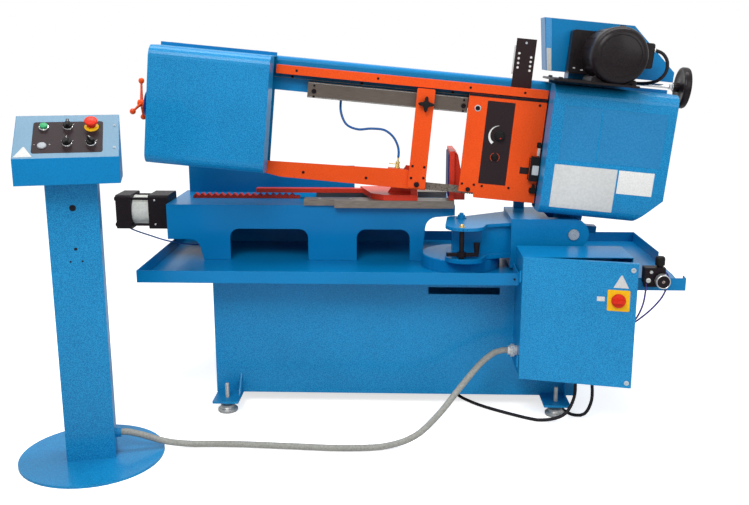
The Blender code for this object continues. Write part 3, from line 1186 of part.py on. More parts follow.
def set_origin(root):
    """Move the root so that the origin is the bottom centre of everything but the cords."""
    bpy.context.view_layer.update()
    low = Vector((1e9, 1e9, 1e9))
    high = -low
    for piece in PARTS.objects:
        if piece.type != "MESH" or piece.name in CORDS:
            continue
        for corner in piece.data.vertices:
            place = piece.matrix_world @ corner.co
            low = Vector(map(min, low, place))
            high = Vector(map(max, high, place))
    root.location = (-(low.x + high.x) / 2, -(low.y + high.y) / 2, -low.z)
    bpy.context.view_layer.update()


CORDS = ("control_conduit", "pump_cable", "head_cable", "air_hose_inlet", "air_hose_outlet",
         "vise_air_line", "coolant_hose", "motor_conduit")

for old in list(bpy.data.objects):
    bpy.data.objects.remove(old)
PARTS = bpy.data.collections.new("band_saw")
bpy.context.scene.collection.children.link(PARTS)

root = axis_empty("machine", (0, 0, 0))
swing = axis_empty("swing_axis", (*SWING_AXIS, 0), root)
head = axis_empty("head_axis", (HEAD_AXIS[0], 0, HEAD_AXIS[1]), swing, "Y", HEAD_REST_ANGLE)
base_unit(root)
vise_unit(root)
pedestal(root)
swing_unit(swing)
head_unit(head)
cords(root, head)
set_origin(root)
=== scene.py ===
import math

import bmesh
import bpy
from mathutils import Matrix, Vector


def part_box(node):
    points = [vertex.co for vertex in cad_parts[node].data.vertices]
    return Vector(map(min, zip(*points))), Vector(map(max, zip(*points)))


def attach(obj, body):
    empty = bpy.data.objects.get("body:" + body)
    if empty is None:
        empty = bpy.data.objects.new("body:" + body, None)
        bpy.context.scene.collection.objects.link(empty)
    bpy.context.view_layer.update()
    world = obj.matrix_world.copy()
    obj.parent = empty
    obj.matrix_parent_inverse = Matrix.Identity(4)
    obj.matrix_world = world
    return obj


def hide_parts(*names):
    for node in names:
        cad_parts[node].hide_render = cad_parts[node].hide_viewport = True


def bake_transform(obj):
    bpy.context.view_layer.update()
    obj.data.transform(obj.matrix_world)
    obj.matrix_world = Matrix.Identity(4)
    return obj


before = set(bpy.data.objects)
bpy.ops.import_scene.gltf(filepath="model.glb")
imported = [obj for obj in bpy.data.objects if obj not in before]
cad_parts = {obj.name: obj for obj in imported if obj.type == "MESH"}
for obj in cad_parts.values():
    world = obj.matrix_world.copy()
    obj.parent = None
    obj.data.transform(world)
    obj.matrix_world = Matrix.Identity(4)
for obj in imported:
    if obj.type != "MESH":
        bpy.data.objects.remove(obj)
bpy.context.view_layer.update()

# ============================================================ camera, floor and light
# The saw stands on a plain white studio floor under soft lamps.  The camera looks at its
# front from just right of the middle, at the height of the saw head and slightly downwards.
scene = bpy.context.scene
scene.view_settings.view_transform = "Standard"

camera = bpy.data.objects.new("camera", bpy.data.cameras.new("camera"))
camera.location = (0.0891, -3.1869, 1.33)
camera.rotation_euler = (math.radians(77.1), 0, math.radians(1.8))
camera.data.lens = 42.78
camera.data.sensor_width = 36
scene.collection.objects.link(camera)
scene.camera = camera


def lamp(name, place, aim, width, depth, power):
    """A soft box at a place, turned towards the point it lights."""
    light = bpy.data.lights.new(name, "AREA")
    light.shape = "RECTANGLE"
    light.size = width
    light.size_y = depth
    light.energy = power
    holder = bpy.data.objects.new(name, light)
    holder.location = place
    holder.rotation_euler = (Vector(aim) - Vector(place)).to_track_quat("-Z", "Y").to_euler()
    scene.collection.objects.link(holder)


lamp("key_light", (-0.9, -3.4, 3.9), (0, 0, 0.6), 2.0, 2.0, 120)
lamp("fill_light", (2.6, -3.2, 2.6), (0, 0, 0.7), 2.2, 2.2, 42)
lamp("top_light", (0.1, 0.3, 3.6), (0.1, 0, 0.8), 4.0, 0.8, 75)

WHITE = (1, 1, 1, 1)
AMBIENT = 0.42                    # how strongly the white room lights the saw
FLOOR_GLOW = 0.70
FLOOR_REACH = 14


def set_inputs(node, **values):
    """Set a node's inputs by their names, with an underscore for a space, and give it back."""
    for name, value in values.items():
        node.inputs[name.replace("_", " ")].default_value = value
    return node


# The camera, glass and mirroring surfaces see plain white; the saw itself is lit more dimly.
world = bpy.data.worlds.new("studio")
world.use_nodes = True
scene.world = world
nodes, links = world.node_tree.nodes, world.node_tree.links
surround = set_inputs(nodes["Background"], Color=WHITE, Strength=AMBIENT)
white = set_inputs(nodes.new("ShaderNodeBackground"), Color=WHITE, Strength=1)
path = nodes.new("ShaderNodeLightPath")
seen = nodes.new("ShaderNodeMath")
seen.operation = "MAXIMUM"
links.new(path.outputs["Is Camera Ray"], seen.inputs[0])
links.new(path.outputs["Is Transmission Ray"], seen.inputs[1])
mirrored = nodes.new("ShaderNodeMath")
mirrored.operation = "MAXIMUM"
links.new(seen.outputs[0], mirrored.inputs[0])
links.new(path.outputs["Is Glossy Ray"], mirrored.inputs[1])
choose = nodes.new("ShaderNodeMixShader")
links.new(mirrored.outputs[0], choose.inputs[0])
links.new(surround.outputs[0], choose.inputs[1])
links.new(white.outputs[0], choose.inputs[2])
links.new(choose.outputs[0], nodes["World Output"].inputs["Surface"])

# The floor is matt paper that glows a little for the camera, so that it turns out white.
floor_mesh = bpy.data.meshes.new("floor")
floor_corners = [(x * FLOOR_REACH, y * FLOOR_REACH, -0.0005)
                 for x, y in ((-1, -1), (1, -1), (1, 1), (-1, 1))]
floor_mesh.from_pydata(floor_corners, [], [(0, 1, 2, 3)])
floor = bpy.data.objects.new("floor", floor_mesh)
scene.collection.objects.link(floor)
paper = bpy.data.materials.new("white paper floor")
paper.use_nodes = True
nodes, links = paper.node_tree.nodes, paper.node_tree.links
matt = set_inputs(nodes["Principled BSDF"], Base_Color=(0.80, 0.80, 0.80, 1), Roughness=0.9,
                  Specular_IOR_Level=0)
glow = set_inputs(nodes.new("ShaderNodeEmission"), Strength=FLOOR_GLOW)
path = nodes.new("ShaderNodeLightPath")
both = nodes.new("ShaderNodeAddShader")
only_seen = nodes.new("ShaderNodeMixShader")
links.new(matt.outputs[0], both.inputs[0])
links.new(glow.outputs[0], both.inputs[1])
links.new(path.outputs["Is Camera Ray"], only_seen.inputs[0])
links.new(matt.outputs[0], only_seen.inputs[1])
links.new(both.outputs[0], only_seen.inputs[2])
links.new(only_seen.outputs[0], nodes["Material Output"].inputs["Surface"])
floor_mesh.materials.append(paper)

# ============================================================ conduit, cables and hoses
# A grey conduit runs along the floor from the pedestal to the control cabinet.  Two black
# cables drop from the cabinet's glands and go in under the base.  Two thin violet hoses
# serve the air regulator, and blue ones serve the vise cylinder and the coolant tap.
SWING_PIN = (0.327, 0.15)
drum_low, drum_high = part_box("swivel_drum")
MACHINE = Matrix.Translation(((drum_low.x + drum_high.x) / 2 - SWING_PIN[0],
                              (drum_low.y + drum_high.y) / 2 - SWING_PIN[1], 0))
HEAD_PIN = (0.735, 0, 0.66)
HEAD = (MACHINE @ Matrix.Translation(HEAD_PIN) @ Matrix.Rotation(math.radians(5.4), 4, "Y")
        @ Matrix.Translation([-step for step in HEAD_PIN]))


def smooth_route(points, spacing):
    """Points about `spacing` apart on a smooth curve, never lower than the route's lowest."""
    places = [Vector(point) for point in points]
    lowest = min(place.z for place in places)
    places = [places[0] * 2 - places[1]] + places + [places[-1] * 2 - places[-2]]
    route = []
    for before, first, second, after in zip(places, places[1:], places[2:], places[3:]):
        pieces = max(1, round((second - first).length / spacing))
        for piece in range(pieces):
            t = piece / pieces
            route.append(0.5 * (2 * first + (second - before) * t
                                + (2 * before - 5 * first + 4 * second - after) * t ** 2
                                + (3 * first - before - 3 * second + after) * t ** 3))
    route.append(places[-2])
    return [Vector((place.x, place.y, max(place.z, lowest))) for place in route]


SHINE = 0.12                      # the specular level of every finish
SKIN_DEPTH = 0.001                # how deep the grain's bumps may be


def finish(name, colour, dark, grain, roughness, bump, metal=0.0, patch=3.0, edge=0.0012,
           coat=0.0, spread=0.12, stretch=(1, 1, 1)):
    """A procedural finish: two tones in fine grain and in broad patches, uneven gloss, a
    bumpy skin and edges that catch the light."""
    material = bpy.data.materials.new(name)
    material.use_nodes = True
    nodes, links = material.node_tree.nodes, material.node_tree.links
    shader = set_inputs(nodes["Principled BSDF"], Metallic=metal, Specular_IOR_Level=SHINE,
                        Coat_Weight=coat, Coat_Roughness=0.15)
    place = nodes.new("ShaderNodeTexCoord")
    sized = set_inputs(nodes.new("ShaderNodeMapping"), Scale=stretch)
    links.new(place.outputs["Object"], sized.inputs["Vector"])
    fine = set_inputs(nodes.new("ShaderNodeTexNoise"), Scale=grain, Detail=3, Roughness=0.6)
    links.new(sized.outputs[0], fine.inputs["Vector"])
    broad = set_inputs(nodes.new("ShaderNodeTexNoise"), Scale=patch, Detail=2)
    links.new(place.outputs["Object"], broad.inputs["Vector"])
    ramp = nodes.new("ShaderNodeValToRGB")
    for stop, position, tint in zip(ramp.color_ramp.elements, (0.5 - spread, 0.5 + spread), (dark, colour)):
        stop.position = position
        stop.color = (*tint, 1)
    links.new(fine.outputs["Fac"], ramp.inputs["Fac"])
    tone = set_inputs(nodes.new("ShaderNodeMapRange"), From_Min=0.3, From_Max=0.7, To_Min=0.90, To_Max=1.06)
    links.new(broad.outputs["Fac"], tone.inputs["Value"])
    shade = nodes.new("ShaderNodeVectorMath")
    shade.operation = "SCALE"
    links.new(ramp.outputs["Color"], shade.inputs[0])
    links.new(tone.outputs[0], shade.inputs["Scale"])
    links.new(shade.outputs[0], shader.inputs["Base Color"])
    gloss = set_inputs(nodes.new("ShaderNodeMapRange"), From_Min=0.3, From_Max=0.7,
                       To_Min=max(0.05, roughness - 0.08), To_Max=roughness + 0.10)
    links.new(fine.outputs["Fac"], gloss.inputs["Value"])
    links.new(gloss.outputs[0], shader.inputs["Roughness"])
    rounding = set_inputs(nodes.new("ShaderNodeBevel"), Radius=edge)
    rounding.samples = 4
    skin = set_inputs(nodes.new("ShaderNodeBump"), Strength=bump, Distance=SKIN_DEPTH)
    links.new(rounding.outputs[0], skin.inputs["Normal"])
    links.new(fine.outputs["Fac"], skin.inputs["Height"])
    links.new(skin.outputs[0], shader.inputs["Normal"])
    return material


def link_piece(name, data):
    piece = bpy.data.objects.new(name, data)
    scene.collection.objects.link(piece)
    return piece


def fit(piece, body, material):
    """Give a piece its finish and the body it moves with."""
    piece.data.materials.clear()
    piece.data.materials.append(material)
    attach(piece, body)
    return piece


def length_of(route):
    return sum((second - first).length for first, second in zip(route, route[1:]))


def cord(name, points, spacing, radius, body, material, frame_of):
    route = [frame_of @ point for point in smooth_route(points, spacing)]
    curve = bpy.data.curves.new(name, "CURVE")
    curve.dimensions = "3D"
    curve.bevel_depth = radius
    curve.bevel_resolution = 5
    curve.use_fill_caps = True
    spline = curve.splines.new("POLY")
    spline.points.add(len(route) - 1)
    for point, place in zip(spline.points, route):
        point.co = (*place, 1)
    spline.use_smooth = True
    piece = fit(link_piece(name + "_cord", curve), body, material)
    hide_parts(name)
    tuple(route[0])
    length_of(route)


conduit_grey = finish("grey conduit sleeve", (0.33, 0.33, 0.30), (0.25, 0.25, 0.23), 160, 0.45, 0.2)
cable_black = finish("black cable sheath", (0.025, 0.022, 0.024), (0.012, 0.010, 0.012), 300, 0.42, 0.2)
hose_violet = finish("violet air hose", (0.09, 0.07, 0.36), (0.06, 0.05, 0.27), 200, 0.25, 0.1)
hose_blue = finish("blue coolant hose", (0.03, 0.13, 0.38), (0.02, 0.09, 0.28), 200, 0.25, 0.1)

CONNECTOR_END = 0.486             # the mouth of the connector on the cabinet's side
SEAT = 0.0003                     # the gap between two pieces that touch
cord("control_conduit",
     [(-0.83746, -0.4452, 0.075), (-0.820, -0.4405, 0.0745), (-0.770, -0.428, 0.057),
      (-0.695, -0.412, 0.027), (-0.60, -0.398, 0.0125), (-0.46, -0.395, 0.0125),
      (-0.28, -0.405, 0.0125), (-0.10, -0.415, 0.0125), (0.04, -0.400, 0.013),
      (0.15, -0.350, 0.030), (0.235, -0.285, 0.085), (0.31, -0.215, 0.155), (0.385, -0.150, 0.222),
      (0.44, -0.116, 0.255), (0.470, -0.110, 0.262), (CONNECTOR_END - SEAT, -0.110, 0.262)],
     0.025, 0.011, "base", conduit_grey, MACHINE)
cord("pump_cable",
     [(0.74, -0.10, 0.1677), (0.74, -0.10, 0.150), (0.733, -0.125, 0.085), (0.69, -0.155, 0.030),
      (0.60, -0.145, 0.0065), (0.49, -0.08, 0.0065), (0.40, -0.01, 0.0065), (0.34, 0.06, 0.0065),
      (0.30, 0.13, 0.012)],
     0.015, 0.006, "base", cable_black, MACHINE)
cord("head_cable",
     [(0.80, -0.10, 0.1677), (0.80, -0.10, 0.150), (0.80, -0.115, 0.075), (0.775, -0.12, 0.022),
      (0.735, -0.09, 0.0065), (0.71, -0.04, 0.0065), (0.70, 0.04, 0.0065), (0.69, 0.10, 0.010)],
     0.015, 0.006, "base", cable_black, MACHINE)
cord("air_hose_inlet",
     [(0.938, -0.222, 0.5517), (0.938, -0.222, 0.52), (0.934, -0.216, 0.47), (0.924, -0.195, 0.42),
      (0.913, -0.165, 0.385), (0.9058, -0.15, 0.372)],
     0.01, 0.003, "base", hose_violet, MACHINE)
cord("air_hose_outlet",
     [(0.9953, -0.222, 0.585), (1.004, -0.222, 0.584), (1.014, -0.219, 0.560), (1.004, -0.205, 0.50),
      (0.975, -0.175, 0.44), (0.935, -0.140, 0.385), (0.9058, -0.125, 0.360)],
     0.01, 0.003, "base", hose_violet, MACHINE)
cord("vise_air_line",
     [(-1.00, 0.30, 0.6322), (-1.00, 0.30, 0.624), (-0.975, 0.300, 0.612), (-0.92, 0.285, 0.598),
      (-0.84, 0.262, 0.580), (-0.76, 0.250, 0.570), (-0.70, 0.245, 0.568), (-0.665, 0.24, 0.572)],
     0.012, 0.003, "base", hose_blue, MACHINE)
cord("motor_conduit",
     [(0.9123, 0.050, 1.345), (0.926, 0.050, 1.345), (0.955, 0.049, 1.335), (0.974, 0.047, 1.308),
      (0.974, 0.048, 1.272), (0.957, 0.058, 1.245), (0.938, 0.090, 1.232), (0.920, 0.140, 1.226),
      (0.903, 0.190, 1.224), (0.880, 0.213, 1.224), (0.8603, 0.213, 1.224)],
     0.011, 0.006, "head", cable_black, HEAD)

# The coolant hose joins the beam to the sliding guide arm; it is drawn as a tube along
# one fixed route between the two.
VALVE_TOP = (0.062, 0.137, 0.8693)
COOLANT_RADIUS = 0.0045


def drawn_piece(name, shape, place):
    """Turn a drawn shape into a piece, with its faces outwards, and move it to its place."""
    bmesh.ops.recalc_face_normals(shape, faces=shape.faces)
    mesh = bpy.data.meshes.new(name)
    shape.to_mesh(mesh)
    shape.free()
    mesh.transform(place)
    return link_piece(name, mesh)


def bending_tube(name, route, radius, sides):
    """A closed tube whose rings follow a route without twisting."""
    shape = bmesh.new()
    across = Vector((1, 0, 0))
    rings = []
    for index, place in enumerate(route):
        ahead = route[min(index + 1, len(route) - 1)]
        behind = route[max(index - 1, 0)]
        along = (ahead - behind).normalized()
        across = (across - along * across.dot(along)).normalized()
        other = along.cross(across)
        ring = []
        for side in range(sides):
            angle = 2 * math.pi * side / sides
            outward = across * math.cos(angle) + other * math.sin(angle)
            ring.append(shape.verts.new(place + outward * radius))
        rings.append(ring)
    for first, second in zip(rings, rings[1:]):
        for side in range(sides):
            after = (side + 1) % sides
            shape.faces.new((first[side], first[after], second[after], second[side]))
    shape.faces.new(reversed(rings[0]))
    shape.faces.new(rings[-1])
    for face in shape.faces:
        face.smooth = True
    return drawn_piece(name, shape, Matrix())


coolant_route = [HEAD @ point for point in smooth_route(
    [(-0.175, 0.205, 1.0747), (-0.175, 0.205, 1.060), (-0.170, 0.185, 1.015), (-0.145, 0.168, 0.972),
     (-0.10, 0.155, 0.958), (-0.05, 0.148, 0.966), (0.0, 0.142, 0.966), (0.035, 0.138, 0.945),
     (0.055, 0.137, 0.915), (VALVE_TOP[0], VALVE_TOP[1], 0.8885),
     (VALVE_TOP[0], VALVE_TOP[1], VALVE_TOP[2] + SEAT)], 0.009)]
coolant_tube = bending_tube("coolant_hose_cord", coolant_route, COOLANT_RADIUS, 10)
coolant_tube.data.materials.append(hose_blue)
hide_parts("coolant_hose")
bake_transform(coolant_tube)
tuple(coolant_route[0])
length_of(coolant_route)
[tuple(place) for place in coolant_route]

# ============================================================ base cabinet and feet
# The cabinet is bent and welded sheet in azure enamel, with a bracket for a levelling screw
# at each corner and a slot high in its front.  The screws stand on round cast pads.
azure = finish("azure enamel", (0.001, 0.205, 0.480), (0.001, 0.175, 0.425), 260, 0.33, 0.18,
               coat=0.15, edge=0.0022)
azure_speckled = finish("azure speckled enamel", (0.012, 0.275, 0.560), (0.002, 0.170, 0.410), 330,
                        0.40, 0.45, spread=0.07, coat=0.25)
zinc = finish("zinc plate", (0.62, 0.63, 0.62), (0.48, 0.49, 0.48), 240, 0.32, 0.1, metal=0.9)
pad_grey = finish("pad grey", (0.52, 0.52, 0.50), (0.40, 0.40, 0.38), 180, 0.40, 0.2, metal=0.6)


def paint(material, *names):
    """Give CAD nodes that keep their own shape their finish."""
    for name in names:
        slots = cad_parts[name].data.materials
        slots.clear()
        slots.append(material)


def soften(mesh, angle=35):
    """Smooth shading across gentle bends, sharp shading across edges."""
    for polygon in mesh.polygons:
        polygon.use_smooth = True
    mesh.set_sharp_from_angle(angle=math.radians(angle))


def lathe(name, profile, place, segments=32):
    """Turn a profile of (radius, height) about +Z and move it to its place."""
    shape = bmesh.new()
    rings = []
    for radius, height in profile:
        ring = []
        for side in range(segments if radius else 1):
            angle = 2 * math.pi * side / segments
            ring.append(shape.verts.new((radius * math.cos(angle), radius * math.sin(angle), height)))
        rings.append(ring)
    for first, second in zip(rings, rings[1:]):
        for side in range(segments):
            after = (side + 1) % segments
            corners = [first[side % len(first)], first[after % len(first)],
                       second[after % len(second)], second[side % len(second)]]
            shape.faces.new(list(dict.fromkeys(corners)))
    piece = drawn_piece(name, shape, place)
    soften(piece.data)
    return piece


def disc(name, radius, thick, place, sides):
    """A plain round disc or pin that stands on its place."""
    return lathe(name, [(0, 0), (radius, 0), (radius, thick), (0, thick)], place, sides)


def slab(name, outline, depth, place, bevel=0.0):
    """A plate of the outline (x, y) and depth along +Z, with its front edge broken."""
    shape = bmesh.new()
    near = [shape.verts.new((x, y, depth)) for x, y in outline]
    far = [shape.verts.new((x, y, 0)) for x, y in outline]
    front = shape.faces.new(near)
    shape.faces.new(list(reversed(far)))
    for index in range(len(outline)):
        after = (index + 1) % len(outline)
        shape.faces.new((far[index], far[after], near[after], near[index]))
    if bevel:
        bmesh.ops.bevel(shape, geom=list(front.edges), offset=bevel, segments=2, affect="EDGES")
    return drawn_piece(name, shape, place)


def rounded_box(width, height, radius, corner_steps=4):
    """Outline of a rectangle about the origin with rounded corners."""
    outline = []
    for x, y, start in ((1, 1, 0), (-1, 1, 90), (-1, -1, 180), (1, -1, 270)):
        centre = (x * (width / 2 - radius), y * (height / 2 - radius))
        for step in range(corner_steps + 1):
            angle = math.radians(start + 90 * step / corner_steps)
            outline.append((centre[0] + radius * math.cos(angle),
                            centre[1] + radius * math.sin(angle)))
    return outline


def merge(name, pieces):
    """Join several small meshes into one piece."""
    shape = bmesh.new()
    for piece in pieces:
        part = piece.data.copy()
        part.transform(piece.matrix_world)
        shape.from_mesh(part)
        bpy.data.meshes.remove(part)
        bpy.data.objects.remove(piece)
    mesh = bpy.data.meshes.new(name)
    shape.to_mesh(mesh)
    shape.free()
    return link_piece(name, mesh)


def facing(direction, up=(0, 0, 1)):
    """Turn +Z to a direction and keep +Y as near to `up` as it can be."""
    z = Vector(direction).normalized()
    x = Vector(up).cross(z).normalized()
    y = z.cross(x)
    return Matrix((x, y, z)).transposed().to_4x4()


TO_FRONT = facing((0, -1, 0))
TO_LEFT = facing((-1, 0, 0))
TO_RIGHT = facing((1, 0, 0))

paint(azure_speckled, "base_cabinet")
FEET = {"front_left": (-0.55, -0.075), "front_right": (0.675, -0.075),
        "rear_left": (-0.55, 0.635), "rear_right": (0.675, 0.635)}
SCREW_RADIUS = 0.0078
THREAD_START = 0.040
THREAD_PITCH = 0.0036
for corner, (x, y) in FEET.items():
    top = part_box("levelling_foot_" + corner)[1].z
    profile = [(0, 0), (0.035, 0), (0.037, 0.003), (0.037, 0.010), (0.033, 0.014), (0.030, 0.0145),
               (0.026, 0.020), (0.026, 0.026), (0.014, 0.031), (0.0135, 0.0315), (0.0135, 0.0385),
               (SCREW_RADIUS, 0.0388)]
    for turn in range(18):
        height = THREAD_START + turn * THREAD_PITCH
        profile += [(SCREW_RADIUS, height), (SCREW_RADIUS - 0.0008, height + THREAD_PITCH / 2)]
    profile += [(0.0072, top - 0.002), (0.0055, top), (0, top)]
    foot = lathe("foot_" + corner, profile, MACHINE @ Matrix.Translation((x, y, 0)), 28)
    fit(foot, "base", pad_grey)
    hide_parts("levelling_foot_" + corner)

# ============================================================ chip tray
# A shallow folded tray between the cabinet and everything that cuts.  It catches chips and
# coolant, and a screw holds the right end of its front wall.
paint(azure, "chip_tray")
# A dark finish for real black marks and screws, which also serves as painted shade in holes and gaps.
black_paint_and_painted_shade = finish("black paint and painted shade", (0.012, 0.014, 0.020), (0.006, 0.007, 0.010), 120, 0.7, 0.1)


def on_front(x, y, z):
    """A place on a wall of the stand that faces the front; +Z comes out of the wall."""
    return MACHINE @ Matrix.Translation((x, y, z)) @ TO_FRONT


tray_screw = lathe("tray_screw", [(0, 0), (0.0042, 0), (0.0042, 0.0012), (0.003, 0.0022), (0, 0.0022)],
                   on_front(0.498, -0.15, 0.538), 16)
fit(tray_screw, "base", black_paint_and_painted_shade)

# ============================================================ vise bed and table plates
# The bed is a hollow weldment with arched windows.  Ground steel plates screwed on its top
# carry the work, and the jaws and the toothed rack are painted castings.
paint(azure, "vise_bed", "swivel_drum")
table_steel = finish("table steel", (0.26, 0.225, 0.19), (0.16, 0.135, 0.115), 50, 0.36, 0.08, metal=0.45,
                     stretch=(0.6, 10, 10), spread=0.2, patch=7)
signal_red = finish("red enamel", (0.72, 0.050, 0.022), (0.60, 0.036, 0.016), 240, 0.34, 0.25, coat=0.1)
paint(table_steel, "front_table_plate", "rear_table_plate")
paint(signal_red, "vise_rack", "movable_vise_jaw", "fixed_vise_jaw")

# A dark blue wear face is screwed to the fixed jaw.
dark_blue = finish("dark blue enamel", (0.010, 0.030, 0.20), (0.006, 0.020, 0.14), 200, 0.35, 0.2)
face = slab("jaw_wear_face", rounded_box(0.190, 0.160, 0.003), 0.004,
            MACHINE @ Matrix.Translation((0.2797, 0.288, 0.857)) @ TO_LEFT, 0.0006)
fit(face, "base", dark_blue)

# Countersunk screws hold the two plates; each head is almost flush, with a shallow recess.
TABLE_TOP = 0.7621
screws = []
for x in (-0.22, -0.10, 0.02, 0.14, 0.25):
    for y in (0.219, 0.432):
        screws.append(lathe("screw", [(0, -0.0003), (0.0062, -0.0003), (0.0062, 0.0004), (0.0048, 0.0006),
                                      (0.0034, 0.0006), (0.0030, 0.0001), (0, 0.0001)],
                            MACHINE @ Matrix.Translation((x, y, TABLE_TOP)), 16))
fit(merge("plate_screws", screws), "base", zinc)

# ============================================================ vise cylinder
# An air cylinder with square black caps and a white barrel, held together by four tie rods
# whose nuts show on the caps.
satin_black = finish("satin black", (0.014, 0.009, 0.012), (0.007, 0.005, 0.007), 260, 0.42, 0.25)
barrel_white = finish("white barrel", (0.70, 0.71, 0.66), (0.60, 0.61, 0.56), 140, 0.35, 0.1)
paint(satin_black, "vise_cylinder_rear_cap", "vise_cylinder_front_cap")
rear_low, rear_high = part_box("vise_cylinder_rear_cap")
front_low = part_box("vise_cylinder_front_cap")[0]
axis_y = (rear_low.y + rear_high.y) / 2
axis_z = (rear_low.z + rear_high.z) / 2
barrel_length = front_low.x - rear_high.x - 2 * SEAT
BARREL = 0.058
BARREL_RIM = 0.0595
barrel = lathe("cylinder_barrel",
               [(0, 0), (BARREL_RIM, 0), (BARREL_RIM, 0.004), (BARREL, 0.005),
                (BARREL, barrel_length - 0.005), (BARREL_RIM, barrel_length - 0.004),
                (BARREL_RIM, barrel_length), (0, barrel_length)],
               Matrix.Translation((rear_high.x + SEAT, axis_y, axis_z)) @ TO_RIGHT, 56)
fit(barrel, "base", barrel_white)
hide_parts("vise_cylinder_barrel")
TIE_ROD_OUT = 0.052
rods = []
for y in (axis_y - TIE_ROD_OUT, axis_y + TIE_ROD_OUT):
    for z in (axis_z - TIE_ROD_OUT, axis_z + TIE_ROD_OUT):
        rods.append(disc("tie_rod", 0.0055, barrel_length,
                         Matrix.Translation((rear_high.x + SEAT, y, z)) @ TO_RIGHT, 14))
        rods.append(lathe("tie_nut", [(0, 0), (0.009, 0), (0.009, 0.0055), (0.0075, 0.007), (0, 0.007)],
                          Matrix.Translation((rear_low.x - SEAT, y, z)) @ TO_LEFT, 6))
fit(merge("cylinder_tie_rods", rods), "base", satin_black)
screws = []
for z in (axis_z - 0.048, axis_z + 0.048):
    screws.append(lathe("cap_screw", [(0, 0), (0.0038, 0), (0.0038, 0.0014), (0.0028, 0.0020), (0, 0.0020)],
                        Matrix.Translation((front_low.x + 0.026, front_low.y - 0.0001, z)) @ TO_FRONT, 14))
fit(merge("cylinder_cap_screws", screws), "base", zinc)

# ============================================================ swivel drum and swing frame
# The head's yoke is welded from two thick plates and turns on the drum's pin.  A clamp
# screw with a cross lever and an upright grip locks it, and the nose carries angle marks.
ARM_TOP = 0.700
paint(azure, "swing_frame")
paint(satin_black, "swing_lock_lever")
paint(zinc, "head_pivot_shaft")
nose = Vector((0.3205, 0.0105, ARM_TOP - 0.006))
NOSE_RADIUS = 0.0662
marks = []
for step in range(11):            # every fifth mark is a longer one
    angle = math.radians(205 + step * 13)
    outward = Vector((math.cos(angle), math.sin(angle), 0))
    height = 0.0085 if step % 5 == 0 else 0.005
    marks.append(slab("mark", rounded_box(0.0016, height, 0.0004), 0.0002,
                      MACHINE @ Matrix.Translation(nose + outward * NOSE_RADIUS) @ facing(outward)))
fit(merge("swivel_angle_marks", marks), "swing_yoke", black_paint_and_painted_shade)
brass_bright = finish("turned brass", (0.80, 0.60, 0.22), (0.62, 0.44, 0.14), 300, 0.28, 0.08, metal=0.9)
top_nut = lathe("clamp_top_nut", [(0, 0), (0.0125, 0), (0.0125, 0.0015), (0.0075, 0.0018), (0.0075, 0.007),
                                  (0.0060, 0.009), (0.003, 0.0105), (0, 0.0108)],
                MACHINE @ Matrix.Translation((0.318, -0.028, ARM_TOP + 0.0002)), 18)
fit(top_nut, "lock_lever", brass_bright)

# ============================================================ feed cylinder
# A hydraulic cylinder between the yoke and the beam sets how fast the head comes down.  Its
# barrel is black and its rod is hard chromed and ground.
chrome_rod = finish("polished rod", (0.66, 0.67, 0.69), (0.56, 0.57, 0.59), 90, 0.16, 0.03, metal=1.0)
paint(satin_black, "feed_cylinder_barrel")
paint(chrome_rod, "feed_cylinder_rod")

# ============================================================ control cabinet and its door
# A folded steel cabinet in front of the base holds the switchgear.  The door stands ajar on
# its left hinges; two quarter-turn screws close it and the main switch is on its face.
DOOR_HINGE = (0.518, -0.2033, 0)
DOOR = (MACHINE @ Matrix.Translation(DOOR_HINGE) @ Matrix.Rotation(math.radians(-12.5), 4, "Z")
        @ Matrix.Translation([-step for step in DOOR_HINGE]))
DOOR_FACE = -0.2033
paint(azure, "control_cabinet")
paint(azure_speckled, "cabinet_door")
pale_label = finish("blank pale label", (0.62, 0.63, 0.62), (0.56, 0.57, 0.56), 120, 0.42, 0.05)
screw_cap = finish("grey screw cap", (0.52, 0.58, 0.62), (0.42, 0.48, 0.52), 160, 0.35, 0.1)
plate_yellow = finish("yellow switch plate", (0.88, 0.50, 0.012), (0.82, 0.44, 0.008), 150, 0.38, 0.12)
knob_red = finish("red moulded knob", (0.70, 0.032, 0.014), (0.60, 0.022, 0.010), 220, 0.34, 0.2)


def on_door(x, z):
    return DOOR @ Matrix.Translation((x, DOOR_FACE, z)) @ TO_FRONT


def cap_screw(radius, height, place):
    """A screw head with a broken edge and a round recess."""
    return lathe("cap_screw",
                 [(0, -0.0002), (radius, -0.0002), (radius, height * 0.55), (radius * 0.82, height),
                  (radius * 0.45, height), (radius * 0.38, height * 0.35), (0, height * 0.35)], place, 20)


screws = [cap_screw(0.0085, 0.004, on_door(0.886, z)) for z in (0.606, 0.206)]
fit(merge("door_screws", screws), "door", screw_cap)
SWITCH = (0.843, 0.498)
plate = slab("switch_plate", rounded_box(0.074, 0.074, 0.004), 0.00025, on_door(*SWITCH))
fit(plate, "door", plate_yellow)
ring = lathe("switch_ring", [(0.0262, 0.0001), (0.0262, 0.0012), (0.0248, 0.0022), (0.0242, 0.0022),
                             (0.0240, 0.0001)], on_door(*SWITCH), 40)
fit(ring, "door", plate_yellow)
knob_skirt = lathe("switch_knob_skirt",
                   [(0, 0.0165), (0.0185, 0.0165), (0.0205, 0.0155), (0.0218, 0.0130), (0.0234, 0.0100),
                    (0.0236, 0.0060), (0.0236, 0.0004), (0, 0.0004)], on_door(*SWITCH), 48)
handle = slab("switch_grip", [(-0.0215, -0.0045), (0.017, -0.0065), (0.0225, 0.0), (0.017, 0.0065),
                              (-0.0215, 0.0045)], 0.0135,
              on_door(*SWITCH) @ Matrix.Translation((0, 0, 0.0160)), 0.0022)
knob = fit(merge("main_switch_grip", [knob_skirt, handle]), "main_switch", knob_red)
soften(knob.data, 30)
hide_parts("main_switch_knob")
side_label = slab("switch_side_label", rounded_box(0.026, 0.016, 0.001), 0.0003,
                  on_door(SWITCH[0] - 0.0585, SWITCH[1] + 0.003))
